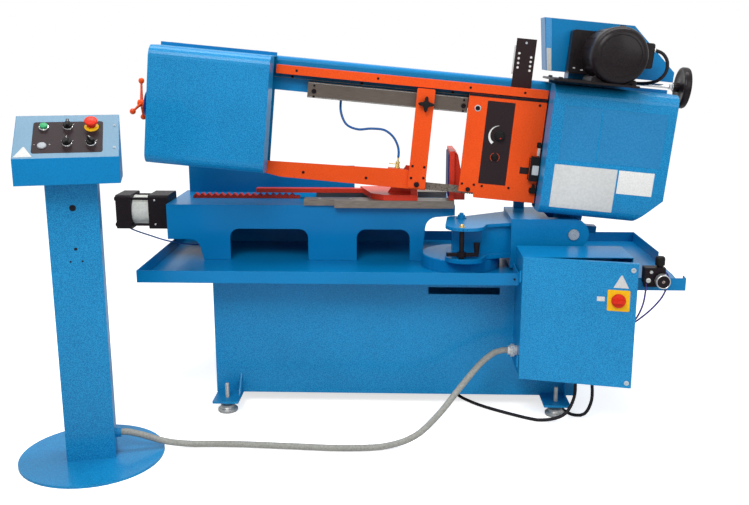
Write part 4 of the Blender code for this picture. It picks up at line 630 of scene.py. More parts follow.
fit(side_label, "door", pale_label)
triangle = slab("door_triangle_plate", [(-0.0255, -0.0215), (0.0255, -0.0215), (0.002, 0.0225),
                                        (-0.002, 0.0225)], 0.0003,
                on_door(SWITCH[0] + 0.006, SWITCH[1] + 0.066))
fit(triangle, "door", pale_label)

# The hinges are two welded barrels, each parted in the middle by a groove.
barrels = []
for z in (0.25, 0.56):
    barrels.append(lathe("hinge", [(0, -0.020), (0.0045, -0.020), (0.0045, -0.001), (0.004, -0.0005),
                                   (0.004, 0.0005), (0.0045, 0.001), (0.0045, 0.020), (0, 0.020)],
                         MACHINE @ Matrix.Translation((0.5128, -0.196, z)), 16))
fit(merge("door_hinges", barrels), "base", azure)

# The conduit enters through a pale threaded connector with a lock nut.
connector_pale = finish("pale connector", (0.66, 0.67, 0.66), (0.52, 0.53, 0.52), 220, 0.3, 0.15, metal=0.4)
connector = lathe("conduit_connector",
                  [(0.0125, 0.0003), (0.0188, 0.0003), (0.0188, 0.0095), (0.0238, 0.0098), (0.0238, 0.0142),
                   (0.0225, 0.0150), (0.0238, 0.0158), (0.0238, 0.0222), (0.0170, 0.0248), (0.0163, 0.0338),
                   (0.0125, 0.0340)],
                  MACHINE @ Matrix.Translation((0.520, -0.11, 0.262)) @ TO_LEFT, 12)
soften(connector.data, 25)
fit(connector, "base", connector_pale)
glands = []
for x in (0.74, 0.80):
    glands.append(lathe("gland", [(0.007, 0.0002), (0.0165, 0.0002), (0.0165, 0.006), (0.0146, 0.0065),
                                  (0.0146, 0.014), (0.013, 0.018), (0.0085, 0.0224), (0.007, 0.0224)],
                        MACHINE @ Matrix.Translation((x, -0.10, 0.19)) @ facing((0, 0, -1), (0, 1, 0)), 8))
fit(merge("cable_glands", glands), "base", satin_black)

# ============================================================ air regulator
# A small black filter regulator hangs on the tray's lip, with a gauge in a bright ring, a
# knurled knob on top and two push-in elbows for the hoses.
LIP = -0.2003
moulded_black = finish("black moulding", (0.013, 0.012, 0.013), (0.007, 0.007, 0.007), 320, 0.48, 0.25)
paint(satin_black, "air_regulator")
knob_profile = [(0, 0), (0.0160, 0), (0.0165, 0.002), (0.0165, 0.022), (0.0155, 0.026), (0.0125, 0.0298),
                (0, 0.0300)]
regulator = lathe("regulator_grip", knob_profile,
                  MACHINE @ Matrix.Translation((0.979, LIP - 0.026, 0.6123)), 30)
centre = MACHINE @ Vector((0.979, LIP - 0.026, 0))
GRIP_RADIUS = 0.0158              # every second point of the rim outside this makes a groove
for index, vertex in enumerate(regulator.data.vertices):
    flat = Vector((vertex.co.x - centre.x, vertex.co.y - centre.y, 0))
    if flat.length > GRIP_RADIUS and index % 2:
        vertex.co -= flat * 0.07
fit(regulator, "pressure_knob", moulded_black)
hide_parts("regulator_knob")
gauge_place = on_front(0.980, LIP - 0.044, 0.5655)
bezel = lathe("gauge_bezel", [(0.0205, 0.0330), (0.0205, 0.0352), (0.0222, 0.0364), (0.0238, 0.0352),
                              (0.0240, 0.0300), (0.0240, 0.0115), (0.0228, 0.0113), (0.0236, 0.0330)],
              gauge_place, 40)
fit(bezel, "base", zinc)
dial_face = finish("gauge face", (0.42, 0.36, 0.34), (0.30, 0.20, 0.18), 90, 0.35, 0.05)
face = lathe("gauge_face", [(0, 0.0345), (0.0207, 0.0345), (0.0207, 0.0341), (0, 0.0341)], gauge_place, 32)
fit(face, "base", dial_face)
hands = [slab("hand", [(-0.0008, -0.004), (0.0008, -0.004), (0.0003, 0.0145), (-0.0003, 0.0145)], 0.0004,
              gauge_place @ Matrix.Translation((0, 0, 0.0346)) @ Matrix.Rotation(math.radians(40), 4, "Z"))]
for step in range(9):
    angle = math.radians(-45 + step * 33.75)
    tick_place = gauge_place @ Matrix.Rotation(angle, 4, "Z") @ Matrix.Translation((0.0172, 0, 0.0346))
    hands.append(slab("tick", rounded_box(0.003, 0.0008, 0.0002), 0.0002, tick_place))
fit(merge("gauge_hand_and_ticks", hands), "base", black_paint_and_painted_shade)
port = lathe("port", [(0, 0), (0.0085, 0), (0.0085, 0.003), (0.006, 0.0035), (0.006, 0.006), (0, 0.006)],
             on_front(0.938, LIP - 0.045, 0.563), 18)
plug = disc("plug", 0.006, 0.004, on_front(0.946, LIP - 0.045, 0.592), 6)
fit(merge("regulator_ports", [port, plug]), "base", zinc)

# ============================================================ pedestal and its panel
# A floor disc, a square column with punched holes and a sloping box of folded sheet.  The
# panel has a black engraved plate with the saw's push buttons and selector switches.
paint(azure_speckled, "pedestal_stand")
paint(azure, "pedestal_box")
PEDESTAL_TURN = 15                # degrees that it stands turned towards the user
PEDESTAL = (MACHINE @ Matrix.Translation((-0.93, -0.47, 0))
            @ Matrix.Rotation(math.radians(PEDESTAL_TURN), 4, "Z"))
BOX_Z = (1.015, 1.128)
BOX_Y = (-0.135, 0.03)
slope = math.atan2(BOX_Z[1] - BOX_Z[0], BOX_Y[1] - BOX_Y[0])
PANEL = (PEDESTAL @ Matrix.Translation((0, sum(BOX_Y) / 2, sum(BOX_Z) / 2))
         @ Matrix.Rotation(slope, 4, "X"))
PANEL_HALF = (0.1525, 0.0999)
# The sheet repaints the sloping lid in a paler, greyer azure than the box: painted sheen of light on the
# upward face.
lid_painted_sheen = finish("azure lid with painted sheen", (0.170, 0.300, 0.415), (0.145, 0.265, 0.375), 300, 0.33, 0.25)
sheet = slab("panel_sheet", rounded_box(PANEL_HALF[0] * 2 - 0.002, PANEL_HALF[1] * 2 - 0.002, 0.002),
             0.00012, PANEL)
fit(sheet, "base", lid_painted_sheen)
plate_black = finish("black engraved plate", (0.027, 0.016, 0.018), (0.018, 0.010, 0.012), 260, 0.45, 0.12)
black_plate = slab("panel_plate", rounded_box(0.2045, 0.146, 0.008), 0.00012,
                   PANEL @ Matrix.Translation((0.0027, -0.0045, 0.00013)))
fit(black_plate, "base", plate_black)

START, STOP = (-0.068, 0.040), (0.071, 0.040)
# Each selector's name, the body that turns with it, its place on the panel and where it points.
SELECTORS = (("feed_selector", "feed_switch", (0.002, 0.040), 0),
             ("coolant_selector", "coolant_switch", (0.002, -0.038), 0),
             ("vise_selector", "vise_switch", (0.071, -0.038), 35))
chrome = finish("chrome bezel", (0.78, 0.79, 0.80), (0.66, 0.67, 0.68), 150, 0.15, 0.03, metal=1.0)
green = finish("green button", (0.05, 0.36, 0.15), (0.04, 0.30, 0.12), 200, 0.3, 0.1)
mushroom_red = finish("red button", (0.82, 0.045, 0.022), (0.74, 0.035, 0.016), 200, 0.28, 0.1)
bezel_profile = [(0.0118, 0.0004), (0.0150, 0.0004), (0.0150, 0.0040), (0.0140, 0.0062), (0.0128, 0.0066),
                 (0.0118, 0.0060)]


def on_panel(at, lift=0.0):
    return PANEL @ Matrix.Translation((at[0], at[1], lift))


start = lathe("start_push", [(0, 0.0138), (0.0090, 0.0138), (0.0112, 0.0130), (0.0118, 0.0118),
                             (0.0118, 0.0070), (0.0108, 0.0068), (0.0108, 0.0057), (0, 0.0057)],
              on_panel(START), 36)
fit(start, "start", green)
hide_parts("start_button")
start_ring = lathe("start_bezel", [(0.0121, 0.0004), (0.0152, 0.0004), (0.0152, 0.0040), (0.0142, 0.0058),
                                   (0.0125, 0.0062), (0.0121, 0.0058)], on_panel(START), 40)
fit(start_ring, "base", chrome)
stop = lathe("stop_mushroom", [(0, 0.0320), (0.0100, 0.0316), (0.0165, 0.0300), (0.0192, 0.0275),
                               (0.0200, 0.0240), (0.0196, 0.0205), (0.0180, 0.0185), (0.0118, 0.0172),
                               (0.0112, 0.0090), (0.0112, 0.0065), (0, 0.0065)], on_panel(STOP), 44)
fit(stop, "stop", mushroom_red)
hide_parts("emergency_stop")
yellow_ring = lathe("stop_collar",
                    [(0.0122, 0.0004), (0.0215, 0.0004), (0.0215, 0.0022), (0.0200, 0.0034),
                     (0.0180, 0.0060), (0.0125, 0.0066), (0.0122, 0.0060)], on_panel(STOP), 44)
fit(yellow_ring, "base", plate_yellow)
for name, body, at, pointing in SELECTORS:
    turn = Matrix.Rotation(math.radians(pointing), 4, "Z")
    skirt = lathe("skirt", [(0, 0.0160), (0.0118, 0.0160), (0.0138, 0.0148), (0.0143, 0.0120),
                            (0.0138, 0.0076), (0.0114, 0.0070), (0.0114, 0.0004), (0, 0.0004)],
                  on_panel(at), 32)
    bar = slab("bar", [(-0.0048, -0.0142), (0.0048, -0.0142), (0.0056, 0.0), (0.0038, 0.0145),
                       (-0.0038, 0.0145), (-0.0056, 0.0)], 0.0100,
               on_panel(at, 0.0150) @ turn, 0.0015)
    grip = fit(merge(name + "_grip", [skirt, bar]), body, moulded_black)
    soften(grip.data, 30)
    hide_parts(name)
    line = slab(name + "_line", rounded_box(0.0016, 0.0100, 0.0005), 0.0002,
                on_panel(at, 0.0250) @ turn @ Matrix.Translation((0, 0.006, 0)))
    fit(line, body, pale_label)
    ring = lathe(name + "_bezel", bezel_profile, on_panel(at), 40)
    fit(ring, "base", chrome)
blank_grey = finish("grey plug", (0.40, 0.43, 0.46), (0.33, 0.36, 0.39), 200, 0.35, 0.1)
plug = lathe("panel_plug", [(0, 0.0052), (0.0096, 0.0052), (0.0124, 0.0040), (0.0134, 0.0018),
                            (0.0134, 0.0003), (0, 0.0003)], on_panel((-0.070, -0.043)), 36)
fit(plug, "base", blank_grey)

# Short white ticks stand round the selectors, as on any switch panel.
tick_white = finish("white ticks", (0.80, 0.80, 0.78), (0.70, 0.70, 0.68), 200, 0.4, 0.05)
ticks = []
for _, _, at, _ in SELECTORS:
    for angle in (-45, 0, 45):
        ticks.append(slab("tick", rounded_box(0.0014, 0.0055, 0.0004), 0.0001,
                          on_panel(at, 0.00028) @ Matrix.Rotation(math.radians(angle), 4, "Z")
                          @ Matrix.Translation((0, 0.0215, 0))))
for x in (-0.092, -0.048):
    ticks.append(slab("tick", rounded_box(0.0045, 0.0014, 0.0004), 0.0001, on_panel((x, -0.037), 0.00028)))
fit(merge("panel_ticks", ticks), "base", tick_white)
triangle = slab("panel_triangle_plate", [(-0.0265, -0.0220), (0.0265, -0.0220), (0.002, 0.0235),
                                         (-0.002, 0.0235)], 0.00025, on_panel((-0.1215, -0.070), 0.00013))
fit(triangle, "base", pale_label)
screws = [cap_screw(0.0042, 0.0022, on_panel((0.1385, z), 0.0003)) for z in (0.046, -0.058)]
fit(merge("panel_screws", screws), "base", screw_cap)
# Flat dark discs stand for the column's punched holes: painted shade inside the holes.
hole_shades = []
for x, z, radius in ((0, 0.85, 0.0102), (0, 0.72, 0.0052), (-0.018, 0.68, 0.0032), (0.018, 0.68, 0.0032)):
    hole_shades.append(disc("hole", radius, 0.0001,
                         PEDESTAL @ Matrix.Translation((x, -0.0500, z)) @ TO_FRONT, 24))
fit(merge("column_holes_painted_shade", hole_shades), "base", black_paint_and_painted_shade)

# ============================================================ head frame and beam
# The saw head is a welded box beam with flat plates behind both band wheels, a cast gearbox
# and a bracket down to the pivot.  Socket screws show along the beam's front.
paint(azure, "head_frame")


def on_head(x, y, z):
    """A place on a face of the head that faces the front; +Z comes out of the face."""
    return HEAD @ Matrix.Translation((x, y, z)) @ TO_FRONT


beam_screws = [cap_screw(0.0055, 0.0045, on_head(x, 0.1700, 1.1265)) for x in (-0.36, -0.10, 0.24, 0.52)]
fit(merge("beam_screws", beam_screws), "head", satin_black)

# ============================================================ band and band wheels
# The toothed steel band runs over two cast iron wheels inside the covers.  Between the two
# guides it is turned on edge, and its teeth point down at the work.
band_steel = finish("band steel", (0.20, 0.17, 0.14), (0.13, 0.11, 0.09), 120, 0.30, 0.05, metal=0.5)
cast_iron = finish("cast iron", (0.16, 0.16, 0.165), (0.09, 0.09, 0.095), 180, 0.55, 0.5, metal=0.6)
paint(band_steel, "band_blade")
paint(cast_iron, "idler_wheel", "drive_wheel")
TOOTH_LINE = 0.7585
TOOTH_PITCH = 0.0085
TOOTHED_X = (-0.100, 0.367)       # the straight run, turned on edge, from guide to guide
BAND_Y = (0.1497, 0.1503)
TOOTH_SET = 0.0004                # how far each tooth is bent out to its side, in turns
teeth = bmesh.new()
for index in range(int((TOOTHED_X[1] - TOOTHED_X[0]) / TOOTH_PITCH)):
    x = TOOTHED_X[0] + index * TOOTH_PITCH
    side = TOOTH_SET if index % 2 else -TOOTH_SET
    tooth = []
    for y in BAND_Y:
        tooth.append([teeth.verts.new((x, y + side, TOOTH_LINE + 0.0004)),
                      teeth.verts.new((x + TOOTH_PITCH * 0.78, y + side, TOOTH_LINE + 0.0004)),
                      teeth.verts.new((x + TOOTH_PITCH * 0.18, y + side, TOOTH_LINE - 0.0026))])
    teeth.faces.new(tooth[0])
    teeth.faces.new(list(reversed(tooth[1])))
    for corner in range(3):
        after = (corner + 1) % 3
        teeth.faces.new((tooth[0][corner], tooth[1][corner], tooth[1][after], tooth[0][after]))
fit(drawn_piece("band_teeth", teeth, HEAD), "head", band_steel)

# ============================================================ wheel covers
# Each cover is folded sheet in azure enamel, with round bends, and swings on a hinge.  The
# right one carries blank plates where its charts and notices would be.
paint(azure_speckled, "idler_cover", "drive_cover")
COVER_BOTTOM = 0.733
COVER_BEND = 0.040
PLATE_ROWS = 13                   # rows of points that let a plate follow the bend


def cover_plate(name, xs, zs, thick, material):
    """A thin plate on the right cover's front that follows the cover's lower bend."""
    low = COVER_BOTTOM + COVER_BEND
    rows = []
    for step in range(PLATE_ROWS):
        z = zs[0] + (zs[1] - zs[0]) * step / (PLATE_ROWS - 1)
        drop = max(0.0, low - z)
        rows.append((COVER_BEND - math.sqrt(COVER_BEND ** 2 - drop ** 2), z))
    shape = bmesh.new()
    front = [[shape.verts.new((x, y - thick, z)) for x in xs] for y, z in rows]
    back = [[shape.verts.new((x, y + 0.0002, z)) for x in xs] for y, z in rows]
    last = len(rows) - 1
    for row in range(last):
        shape.faces.new((front[row][0], front[row][1], front[row + 1][1], front[row + 1][0]))
        shape.faces.new((back[row][1], back[row][0], back[row + 1][0], back[row + 1][1]))
        for side in (0, 1):
            shape.faces.new((front[row][side], front[row + 1][side], back[row + 1][side], back[row][side]))
    for row in (0, last):
        shape.faces.new((front[row][0], front[row][1], back[row][1], back[row][0]))
    fit(drawn_piece(name, shape, HEAD), "drive_wheel_cover", material)


chart_blue = finish("blank chart plate", (0.028, 0.230, 0.480), (0.018, 0.185, 0.410), 200, 0.36, 0.06)
cover_plate("left_chart_plate", (0.631, 0.762), (0.935, 1.128), 0.0005, chart_blue)
cover_plate("right_chart_plate", (0.770, 0.995), (0.935, 1.127), 0.0005, chart_blue)
cover_plate("notice_plate", (0.622, 0.848), (0.762, 0.918), 0.0006, pale_label)
cover_plate("maker_plate", (0.854, 0.981), (0.833, 0.917), 0.0006, tick_white)

# The idler cover has a hinge along its top edge, and the drive cover one up its right side.
hinge_pins = []
for x in (-0.80, -0.48):
    hinge_pins.append(lathe("hinge_pin", [(0, -0.024), (0.0042, -0.024), (0.0042, 0.024), (0, 0.024)],
                            HEAD @ Matrix.Translation((x, 0.1755, 1.2062)) @ TO_RIGHT, 12))
fit(merge("idler_hinge_pins", hinge_pins), "head", azure)

# ============================================================ guide rail and blade guards
# A ground steel bar bolted to the beam carries the left guide arm.  Orange sheet guards cover
# the band above and below, and the lower one slides along with the arm.
orange = finish("orange enamel", (0.86, 0.090, 0.009), (0.78, 0.070, 0.006), 260, 0.34, 0.2, coat=0.15)
rail_steel = finish("ground bar", (0.145, 0.118, 0.100), (0.105, 0.085, 0.072), 60, 0.34, 0.05, metal=0.35,
                    stretch=(0.5, 12, 12), spread=0.2, patch=5)
paint(rail_steel, "guide_rail")
paint(orange, "upper_blade_guard", "left_guide_arm", "lower_blade_guard", "head_control_box")
RAIL_FRONT = 0.140
rail_bolts = []
for x in (-0.273, 0.283):
    for z, radius in ((1.104, 0.0042), (1.0835, 0.0088), (1.064, 0.0042)):
        rail_bolts.append(cap_screw(radius, radius * 0.7, on_head(x, RAIL_FRONT, z)))
fit(merge("rail_bolts", rail_bolts), "head", satin_black)
# Two thin bright strips along the bar's top and bottom edges are painted highlights.
rail_edge_highlights = [slab("edge", rounded_box(0.590, 0.0012, 0.0004), 0.0002, on_head(0.0, RAIL_FRONT, z))
              for z in (1.0620, 1.1130)]
fit(merge("rail_edge_painted_highlights", rail_edge_highlights), "head", zinc)
guard_screws = [cap_screw(0.0045, 0.0022, on_head(x, 0.1180, 1.1525)) for x in (-0.34, -0.04, 0.30, 0.50)]
fit(merge("upper_guard_screws", guard_screws), "head", satin_black)
ARM_FRONT = 0.111
GUARD_FRONT = ARM_FRONT + 0.0128
arm_fasteners = [cap_screw(0.0052, 0.0036, on_head(x, GUARD_FRONT, z))
                 for x, z in ((-0.288, 0.781), (-0.051, 0.783))]
arm_fasteners += [cap_screw(0.0048, 0.0034, on_head(x, ARM_FRONT, z))
                  for x, z in ((0.117, 0.801), (0.163, 0.805), (0.118, 0.846), (0.162, 0.846))]
arm_fasteners.append(lathe("guide_roller", [(0, 0), (0.0100, 0), (0.0100, 0.005), (0.0085, 0.0065),
                                            (0.0045, 0.0065), (0.0042, 0.0088), (0, 0.0090)],
                           on_head(0.140, ARM_FRONT, 0.7785), 24))
fit(merge("guide_arm_fasteners", arm_fasteners), "guide_arm", satin_black)

# A four-pointed moulded knob clamps the arm on the rail.
lobes = []
LOBE_STEPS = 64
for step in range(LOBE_STEPS):
    angle = 2 * math.pi * step / LOBE_STEPS
    reach = 0.0118 + 0.0172 * abs(math.cos(2 * angle)) ** 3
    lobes.append((reach * math.cos(angle), reach * math.sin(angle)))
star_place = on_head(0.144, ARM_FRONT - SEAT, 1.078)
star = slab("star", lobes, 0.0140, star_place @ Matrix.Translation((0, 0, 0.0095)), 0.0025)
boss = lathe("boss", [(0, 0), (0.0105, 0), (0.0115, 0.010), (0, 0.010)], star_place, 24)
cap = lathe("cap", [(0, 0.0232), (0.0075, 0.0232), (0.0062, 0.0240), (0, 0.0241)], star_place, 24)
star = fit(merge("arm_star_knob", [star, boss, cap]), "arm_knob", moulded_black)
soften(star.data, 30)
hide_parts("guide_arm_knob")

# The coolant tap is turned brass with a flat lever and a hose spigot on top.
tap_place = HEAD @ Matrix.Translation((0.062, ARM_FRONT + 0.026, 0.8293))
tap = lathe("tap", [(0, 0), (0.0098, 0), (0.0098, 0.0045), (0.0078, 0.0055), (0.0078, 0.0120),
                    (0.0066, 0.0128), (0.0066, 0.0182), (0.0080, 0.0190), (0.0080, 0.0245), (0.0036, 0.0262),
                    (0.0036, 0.0300), (0.0044, 0.0312), (0.0034, 0.0330), (0.0034, 0.0400), (0, 0.0400)],
            tap_place, 6)
stem = lathe("stem", [(0, 0.0010), (0.0068, 0.0010), (0.0068, 0.0240), (0, 0.0240)], tap_place, 24)
lever = slab("lever", rounded_box(0.034, 0.0085, 0.004), 0.003,
             tap_place @ Matrix.Translation((-0.0155, 0, 0.0140)), 0.0008)
tap = fit(merge("coolant_tap", [tap, stem, lever]), "guide_arm", brass_bright)
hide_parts("coolant_valve")

# ============================================================ head control panel
# The orange guard on the right carries the fixed guide and a black strip with the feed dial.
# It also has a small valve knob, screws, a safety switch box and a tee knob.
PANEL_FRONT = 0.120


def on_guard(x, z):
    return on_head(x, PANEL_FRONT, z)


strip = slab("control_strip", rounded_box(0.102, 0.307, 0.003), 0.00025, on_guard(0.420, 0.9585))
fit(strip, "head", plate_black)
dial_place = on_guard(0.427, 0.987)
dial = lathe("dial", [(0, 0.0004), (0.0208, 0.0004), (0.0208, 0.0030), (0.0165, 0.0042), (0.0160, 0.0150),
                      (0.0150, 0.0188), (0.0132, 0.0202), (0, 0.0202)], dial_place, 40)
for vertex in dial.data.vertices:
    local = dial_place.inverted() @ vertex.co
    turn = math.atan2(local.y, local.x)
    if 0.004 < local.z < 0.0195 and local.xy.length > 0.014:
        local.xy *= 1 + 0.025 * math.cos(20 * turn)
        vertex.co = dial_place @ local
fit(dial, "rate_knob", moulded_black)
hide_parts("feed_rate_knob")
pointer = disc("dial_mark", 0.0026, 0.0004, dial_place @ Matrix.Translation((0.002, -0.007, 0.0202)), 16)
fit(pointer, "rate_knob", knob_red)


ARC_STEPS = 24
STRIP_TOP = 0.00026               # just above the black strip


def arc(name, place, inner, outer, start, end, taper=1.0):
    """A flat curved stroke whose inner edge may close towards the outer one at its end."""
    shape = bmesh.new()
    rows = []
    for step in range(ARC_STEPS + 1):
        part = step / ARC_STEPS
        angle = math.radians(start + (end - start) * part)
        near = outer - (outer - inner) * (1 + (taper - 1) * part)
        rows.append([shape.verts.new((radius * math.cos(angle), radius * math.sin(angle), height))
                     for height in (STRIP_TOP, STRIP_TOP + 0.0001) for radius in (near, outer)])
    for first, second in zip(rows, rows[1:]):
        for a, b in ((0, 1), (1, 3), (3, 2), (2, 0)):
            shape.faces.new((first[a], first[b], second[b], second[a]))
    for row in (rows[0], rows[-1]):
        shape.faces.new((row[0], row[1], row[3], row[2]))
    return drawn_piece(name, shape, place)


# The scale round the dial is a wedge that thins as the rate falls.
wedge = arc("dial_wedge", on_guard(0.425, 0.986), 0.0290, 0.0395, 232, 96, 0.12)
fit(wedge, "head", tick_white)
valve = on_guard(0.419, 0.907)
arcs = [arc("arc", valve, 0.0158, 0.0172, 110, 235), arc("arc", valve, 0.0158, 0.0172, -55, 70)]
fit(merge("valve_arcs", arcs), "head", orange)
small = lathe("valve_knob", [(0, 0.0002), (0.0120, 0.0002), (0.0120, 0.0018), (0.0098, 0.0022),
                             (0.0094, 0.0120), (0.0080, 0.0142), (0, 0.0144)], valve, 28)
grip_place = valve @ Matrix.Translation((0, 0, 0.0140)) @ Matrix.Rotation(math.radians(-25), 4, "Z")
grip = slab("valve_grip", rounded_box(0.005, 0.018, 0.002), 0.006, grip_place, 0.001)
valve_knob = fit(merge("valve_knob", [small, grip]), "head", moulded_black)
soften(valve_knob.data, 30)

# Screws, a washer and a guide roller on the orange plate.
washer = lathe("washer", [(0.0085, 0.0001), (0.0120, 0.0001), (0.0120, 0.0013), (0.0085, 0.0015)],
               on_guard(0.335, 1.081), 28)
fit(washer, "head", zinc)
plate_screws = [cap_screw(0.0085, 0.006, on_guard(0.335, 1.081))]
for x, z in ((0.309, 0.798), (0.354, 0.798), (0.384, 0.796), (0.484, 0.798)):
    plate_screws.append(cap_screw(0.0045, 0.003, on_guard(x, z)))
plate_screws.append(cap_screw(0.0050, 0.003, on_guard(0.560, 1.112)))
plate_screws.append(lathe("roller", [(0, 0), (0.0085, 0), (0.0085, 0.005), (0.0070, 0.0065), (0, 0.0066)],
                          on_guard(0.333, 0.7785), 20))
fit(merge("guard_screws", plate_screws), "head", satin_black)
mark = slab("small_plate", rounded_box(0.034, 0.025, 0.001), 0.0004, on_guard(0.534, 0.8685))
fit(mark, "head", plate_black)
# A dark strip over the top of the orange plate is painted shade; it widens the shadowed gap under the upper
# guard.
gap_shade_strip = slab("guard_gap_painted_shade", rounded_box(0.2855, 0.0088, 0.0012), 0.0012, on_guard(0.4423, 1.1284), 0.0004)
fit(gap_shade_strip, "head", black_paint_and_painted_shade)

# The safety switch is a black box with a pale face, a pale key and a tee knob under it.
switch_box = slab("switch_box", rounded_box(0.0365, 0.091, 0.004), 0.0275, on_guard(0.5662, 0.880), 0.0015)
key_bracket = slab("key_bracket", rounded_box(0.016, 0.020, 0.005), 0.008, on_guard(0.576, 0.968), 0.001)
tee = merge("tee", [slab("neck", rounded_box(0.010, 0.022, 0.002), 0.012, on_guard(0.574, 0.810), 0.001),
                    slab("bar", rounded_box(0.026, 0.020, 0.004), 0.016, on_guard(0.573, 0.798), 0.002)])
fit(merge("safety_switch", [switch_box, key_bracket, tee]), "head", moulded_black)
light_parts = [slab("face", rounded_box(0.024, 0.035, 0.002), 0.0008,
                    on_guard(0.5705, 0.8765) @ Matrix.Translation((0, 0, 0.0272)), 0.0002),
               slab("key", rounded_box(0.010, 0.030, 0.002), 0.006, on_guard(0.5780, 0.9420), 0.001)]
fit(merge("safety_switch_face", light_parts), "head", pale_label)

# ============================================================ band speed scale
# A flat black bar stands upright on the beam beside the motor.  Two rows of white dots mark
# the band speeds, and a pale strip runs down its left edge.
paint(plate_black, "speed_scale_plate")
SCALE_FRONT = 0.1662
dots = []
for x, heights in ((0.4665, (1.291, 1.273, 1.256, 1.240)), (0.5115, (1.280, 1.264, 1.248, 1.232))):
    for z in heights:
        dots.append(disc("dot", 0.0044, 0.0003, on_head(x, SCALE_FRONT, z), 18))
fit(merge("scale_dots", dots), "head", tick_white)
top_screw = cap_screw(0.0044, 0.0022, on_head(0.488, SCALE_FRONT, 1.330))
fit(top_screw, "head", screw_cap)
edge_strip = slab("scale_edge", rounded_box(0.0052, 0.104, 0.0006), 0.003,
                  on_head(0.4490, SCALE_FRONT + 0.0035, 1.2670))
fit(edge_strip, "head", pale_label)

# ============================================================ belt guard
# A folded sheet cover behind the motor hides the belt and its pulleys.  Its sloping left
# flange is a thin sheet of paler azure, painted light on the side that faces the light, with
# a narrow pale strip along it.
paint(azure, "belt_guard")
flange_painted_light = finish("azure with painted light on the flange", (0.090, 0.330, 0.640), (0.060, 0.270, 0.560), 260, 0.35, 0.15)
GUARD_FACE = 0.185
# The paler azure of the flange is painted light on the guard's own paint.
side_flange = slab("guard_side_flange",
                   [(0.5770, 1.2400), (0.5960, 1.2400), (0.5700, 1.4275), (0.5478, 1.4275)],
                   0.0003, on_head(0, GUARD_FACE, 0))
fit(side_flange, "head", flange_painted_light)
strip = slab("guard_edge_strip", [(0.5775, 1.2400), (0.5945, 1.2400), (0.5830, 1.3200), (0.5655, 1.3200)],
             0.0005, on_head(0, GUARD_FACE - 0.0002, 0))
fit(strip, "head", pale_label)

# ============================================================ drive motor
# A black electric motor lies across the head: a drawn shell with a domed fan cowl, a square
# face towards the belt, a terminal box on its right and a foot on a steel plate.
motor_black = finish("motor enamel", (0.014, 0.010, 0.012), (0.007, 0.005, 0.006), 200, 0.36, 0.2, coat=0.1)
MOTOR_PLACE = on_head(0.777, 0.160, 1.313)
pieces = [
    lathe("shell", [(0, 0), (0.078, 0), (0.090, 0.008), (0.0945, 0.018), (0.0945, 0.196), (0.0960, 0.1965),
                    (0.0978, 0.1990), (0.0978, 0.2290), (0.0950, 0.2400), (0.0880, 0.2490),
                    (0.0740, 0.2550), (0.0700, 0.2550), (0.0690, 0.2535), (0.0600, 0.2560),
                    (0.0300, 0.2590), (0.0120, 0.2596), (0, 0.2598)], MOTOR_PLACE, 64),
    slab("square_face", rounded_box(0.115, 0.155, 0.012), 0.058, on_head(0.6995, 0.1690, 1.3155), 0.002),
    slab("terminal_box", rounded_box(0.050, 0.088, 0.008), 0.106, on_head(0.8865, 0.1080, 1.3230), 0.004),
    slab("terminal_lid", rounded_box(0.100, 0.082, 0.006), 0.0022,
         HEAD @ Matrix.Translation((0.9098, 0.0550, 1.3230)) @ TO_RIGHT, 0.0008),
    slab("motor_plate", rounded_box(0.295, 0.272, 0.008), 0.0075,
         HEAD @ Matrix.Translation((0.7125, 0.0520, 1.2108)), 0.0015),
    slab("motor_foot", rounded_box(0.158, 0.168, 0.010), 0.0180,
         HEAD @ Matrix.Translation((0.777, 0.035, 1.2175)), 0.004)]
for x in (0.717, 0.837):
    for y in (-0.030, 0.100):
        pieces.append(lathe("foot_bolt", [(0, 0), (0.008, 0), (0.008, 0.005), (0.0065, 0.006), (0, 0.006)],
                            HEAD @ Matrix.Translation((x, y, 1.2352)), 6))
for x, y in ((0.590, -0.060), (0.590, 0.160), (0.838, -0.066)):
    pieces.append(lathe("plate_bolt", [(0, 0), (0.0075, 0), (0.0075, 0.005), (0.006, 0.006), (0, 0.006)],
                        HEAD @ Matrix.Translation((x, y, 1.2182)), 6))
RIBS = 16
for step in range(RIBS):
    angle = math.radians((step + 0.5) * 360 / RIBS)
    pieces.append(slab("shell_rib", rounded_box(0.0022, 0.150, 0.0008), 0.0016,
                       MOTOR_PLACE @ Matrix.Rotation(angle, 4, "Z") @ Matrix.Translation((0.0942, 0, 0.105))
                       @ facing((1, 0, 0), (0, 0, 1))))
tab_place = MOTOR_PLACE @ Matrix.Translation((0.0, 0.0965, 0.205)) @ facing((0, 0, 1), (0, 1, 0))
pieces.append(slab("lifting_tab", rounded_box(0.020, 0.010, 0.003), 0.008, tab_place, 0.001))
motor = fit(merge("motor_assembly", pieces), "head", motor_black)
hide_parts("drive_motor")
marks = [slab("mark", rounded_box(0.0085, 0.0050, 0.001), 0.0003, on_head(x, 0.1108, z))
         for x, z in ((0.662, 1.258), (0.690, 1.253))]
fit(merge("motor_marks", marks), "head", pale_label)
gland_nuts = [lathe("gland_nut", [(0.0066, 0), (0.0135, 0), (0.0135, 0.0060), (0.0105, 0.0066),
                                  (0.0105, 0.0120), (0.0085, 0.0140), (0.0066, 0.0140)],
                    HEAD @ Matrix.Translation((0.9125, 0.050, 1.345)) @ TO_RIGHT, 12)]
fit(merge("motor_gland", gland_nuts), "head", zinc)

